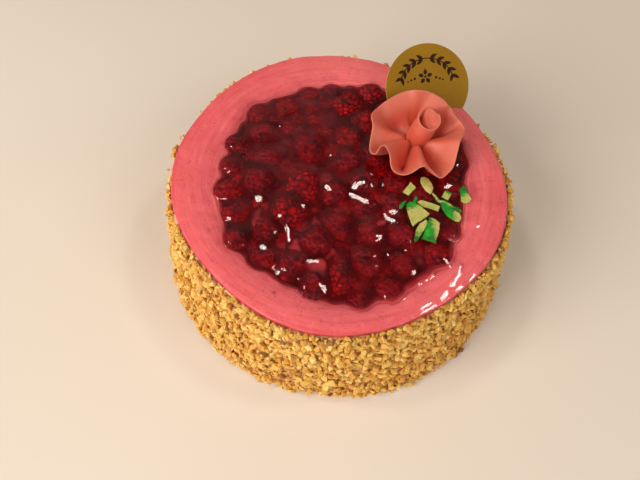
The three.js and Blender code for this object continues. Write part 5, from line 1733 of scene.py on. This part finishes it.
def chips():
    obs, bits = [], []
    for k, (node, x, y, thick, (gx, gy, g0), poly) in enumerate(CHIPS):
        sx, sy, z0 = rest_plane(x, y, poly)
        z0 += STACK.get(node, 0) if node else 0
        V, F = chip_geo(poly, thick, 300 + k)
        dye = 0.5 + g0 + gx * V[:, 0] + gy * V[:, 1]
        nx = np.array([1, 0, sx]) / math.hypot(1, sx)
        ny = np.array([0, 1, sy]) / math.hypot(1, sy)
        nz = np.cross(nx, ny)
        nz /= np.linalg.norm(nz)
        W = V[:, :1] * np.array([1, 0, sx]) + V[:, 1:2] * np.array([0, 1, sy]) + V[:, 2:3] * nz + np.array([x, y, z0])
        if node:
            ob = make(f"almond_{node}", W, F, ALMOND, smooth_shade=False, attrs={"dye": dye})
            place(ob, f"almond_chip_{node}", slot="almond")
            obs.append(ob)
        else:
            bits.append((W, F, dye))
    # the thin curved sliver, a narrow strip seen from its edge
    P = np.array(SLIVER)
    n = 34
    S = catmull(np.concatenate([P, np.zeros((len(P), 1))], 1), n)[:, :2]
    d = np.gradient(S, axis=0)
    d /= np.linalg.norm(d, axis=1)[:, None]
    nn = np.stack([-d[:, 1], d[:, 0]], -1)
    t = np.linspace(0, 1, n)
    zc = sample(FILM, S[:, 0], S[:, 1])
    zc = np.maximum(zc, zc.max() - 1.2) + 0.9
    zc = np.convolve(np.pad(zc, 4, mode="edge"), np.ones(9) / 9, mode="valid")
    w = 0.75 * np.sin(np.pi * np.clip(t * 0.95 + 0.025, 0, 1)) ** 0.4
    sec = [(-0.8, -0.9), (0.5, -1.0), (0.9, 0.2), (0.75, 0.8), (0.0, 0.95), (-0.7, 0.7)]
    SV = np.stack([np.concatenate([S + nn * (w * a)[:, None], (zc + b * 0.8 * (0.4 + 0.6 * w / 0.75))[:, None]], 1) for a, b in sec], 1).reshape(-1, 3)
    m = len(sec)
    i = np.arange(n - 1)[:, None]
    j = np.arange(m)[None, :]
    jj = (j + 1) % m
    Q = np.stack([i * m + j, i * m + jj, (i + 1) * m + jj, (i + 1) * m + j], -1).reshape(-1, 4)
    caps = [[0, q + 1, q] for q in range(1, m - 1)] + [[(n - 1) * m, (n - 1) * m + q, (n - 1) * m + q + 1] for q in range(1, m - 1)]
    bits.append((SV, [Q, np.array(caps)], np.repeat(0.34 + 0.22 * t, m)))
    VS, QS, TS, DS, off = [], [], [], [], 0
    for W, F, dye in bits:
        VS.append(W)
        for f in F:
            (QS if f.shape[1] == 4 else TS).append(f + off)
        DS.append(dye)
        off += len(W)
    ob = make("almond_bits", np.concatenate(VS), [np.concatenate(QS), np.concatenate(TS)], ALMOND, smooth_shade=False, attrs={"dye": np.concatenate(DS)})
    place(ob, slot="almond")
    obs.append(ob)
    return obs


chip_obs = chips()

# ---------------------------------------------------------------- carried-over CAD body
body = frame["nodes"]["cake_body"]
body.data.materials.clear()
body.data.materials.append(CREAM)


# ---------------------------------------------------------------- floor, light
def floor():
    M = Mat("floor")
    M.put("Base Color", M.ramp(M.noise(3, 3, 0.5), [(0.3, srgb(224, 210, 194)), (0.7, srgb(228, 215, 200))]))
    M.put("Roughness", 0.75)
    v = np.array([[-2000, -2000, 0], [2000, -2000, 0], [2000, 2000, 0], [-2000, 2000, 0]], float)
    ob = make("floor", v, np.array([[0, 1, 2, 3]]), M.m)


floor()


def area(name, direction, dist, size, power, color=(1, 1, 1), size_y=None, target=(0, 0, 0.05), shape="RECTANGLE"):
    L = bpy.data.lights.new(name, "AREA")
    L.energy = power
    L.color = color
    L.shape = shape
    L.size = size
    L.size_y = size_y or size
    ob = bpy.data.objects.new(name, L)
    d = Vector(direction).normalized()
    ob.location = Vector(target) + d * dist
    ob.rotation_euler = (-d).to_track_quat("-Z", "Y").to_euler()
    bpy.context.scene.collection.objects.link(ob)
    return ob


WARM = (1.0, 0.93, 0.84)
area("lamp_left", (-0.43, 0.10, 0.90), 1.6, 0.17, 3.4, WARM, 0.24, shape="ELLIPSE")
area("lamp_right", (0.44, 0.13, 0.89), 1.6, 0.18, 3.0, WARM, 0.22, shape="ELLIPSE")
area("window_left", (-0.92, -0.66, 0.66), 1.6, 1.1, 26.6, (1.0, 0.95, 0.89))
area("fill_front", (-0.45, -0.93, 0.36), 1.7, 1.3, 1.0, (1.0, 0.93, 0.84), 0.7)
area("window_right", (0.80, -0.60, 0.85), 1.7, 0.9, 8.4, (1.0, 0.94, 0.87))
area("wall_back", (-0.32, 0.85, 0.86), 1.9, 1.5, 1.7, (1.0, 0.78, 0.76), 1.1)

world = bpy.data.worlds.new("world")
world.use_nodes = True
bg = world.node_tree.nodes["Background"]
bg.inputs[0].default_value = (1.0, 0.94, 0.86, 1)
bg.inputs[1].default_value = 0.14
bpy.context.scene.world = world
bpy.context.scene.view_settings.view_transform = "Standard"
bpy.context.scene.view_settings.look = "None"

for ob in bpy.context.scene.objects:
    if ob.type == "MESH" and not ob.hide_render and ob.name != "floor":
        k = tri_count(ob)
        if k > 20000:
            print("triangles", ob.name, k)
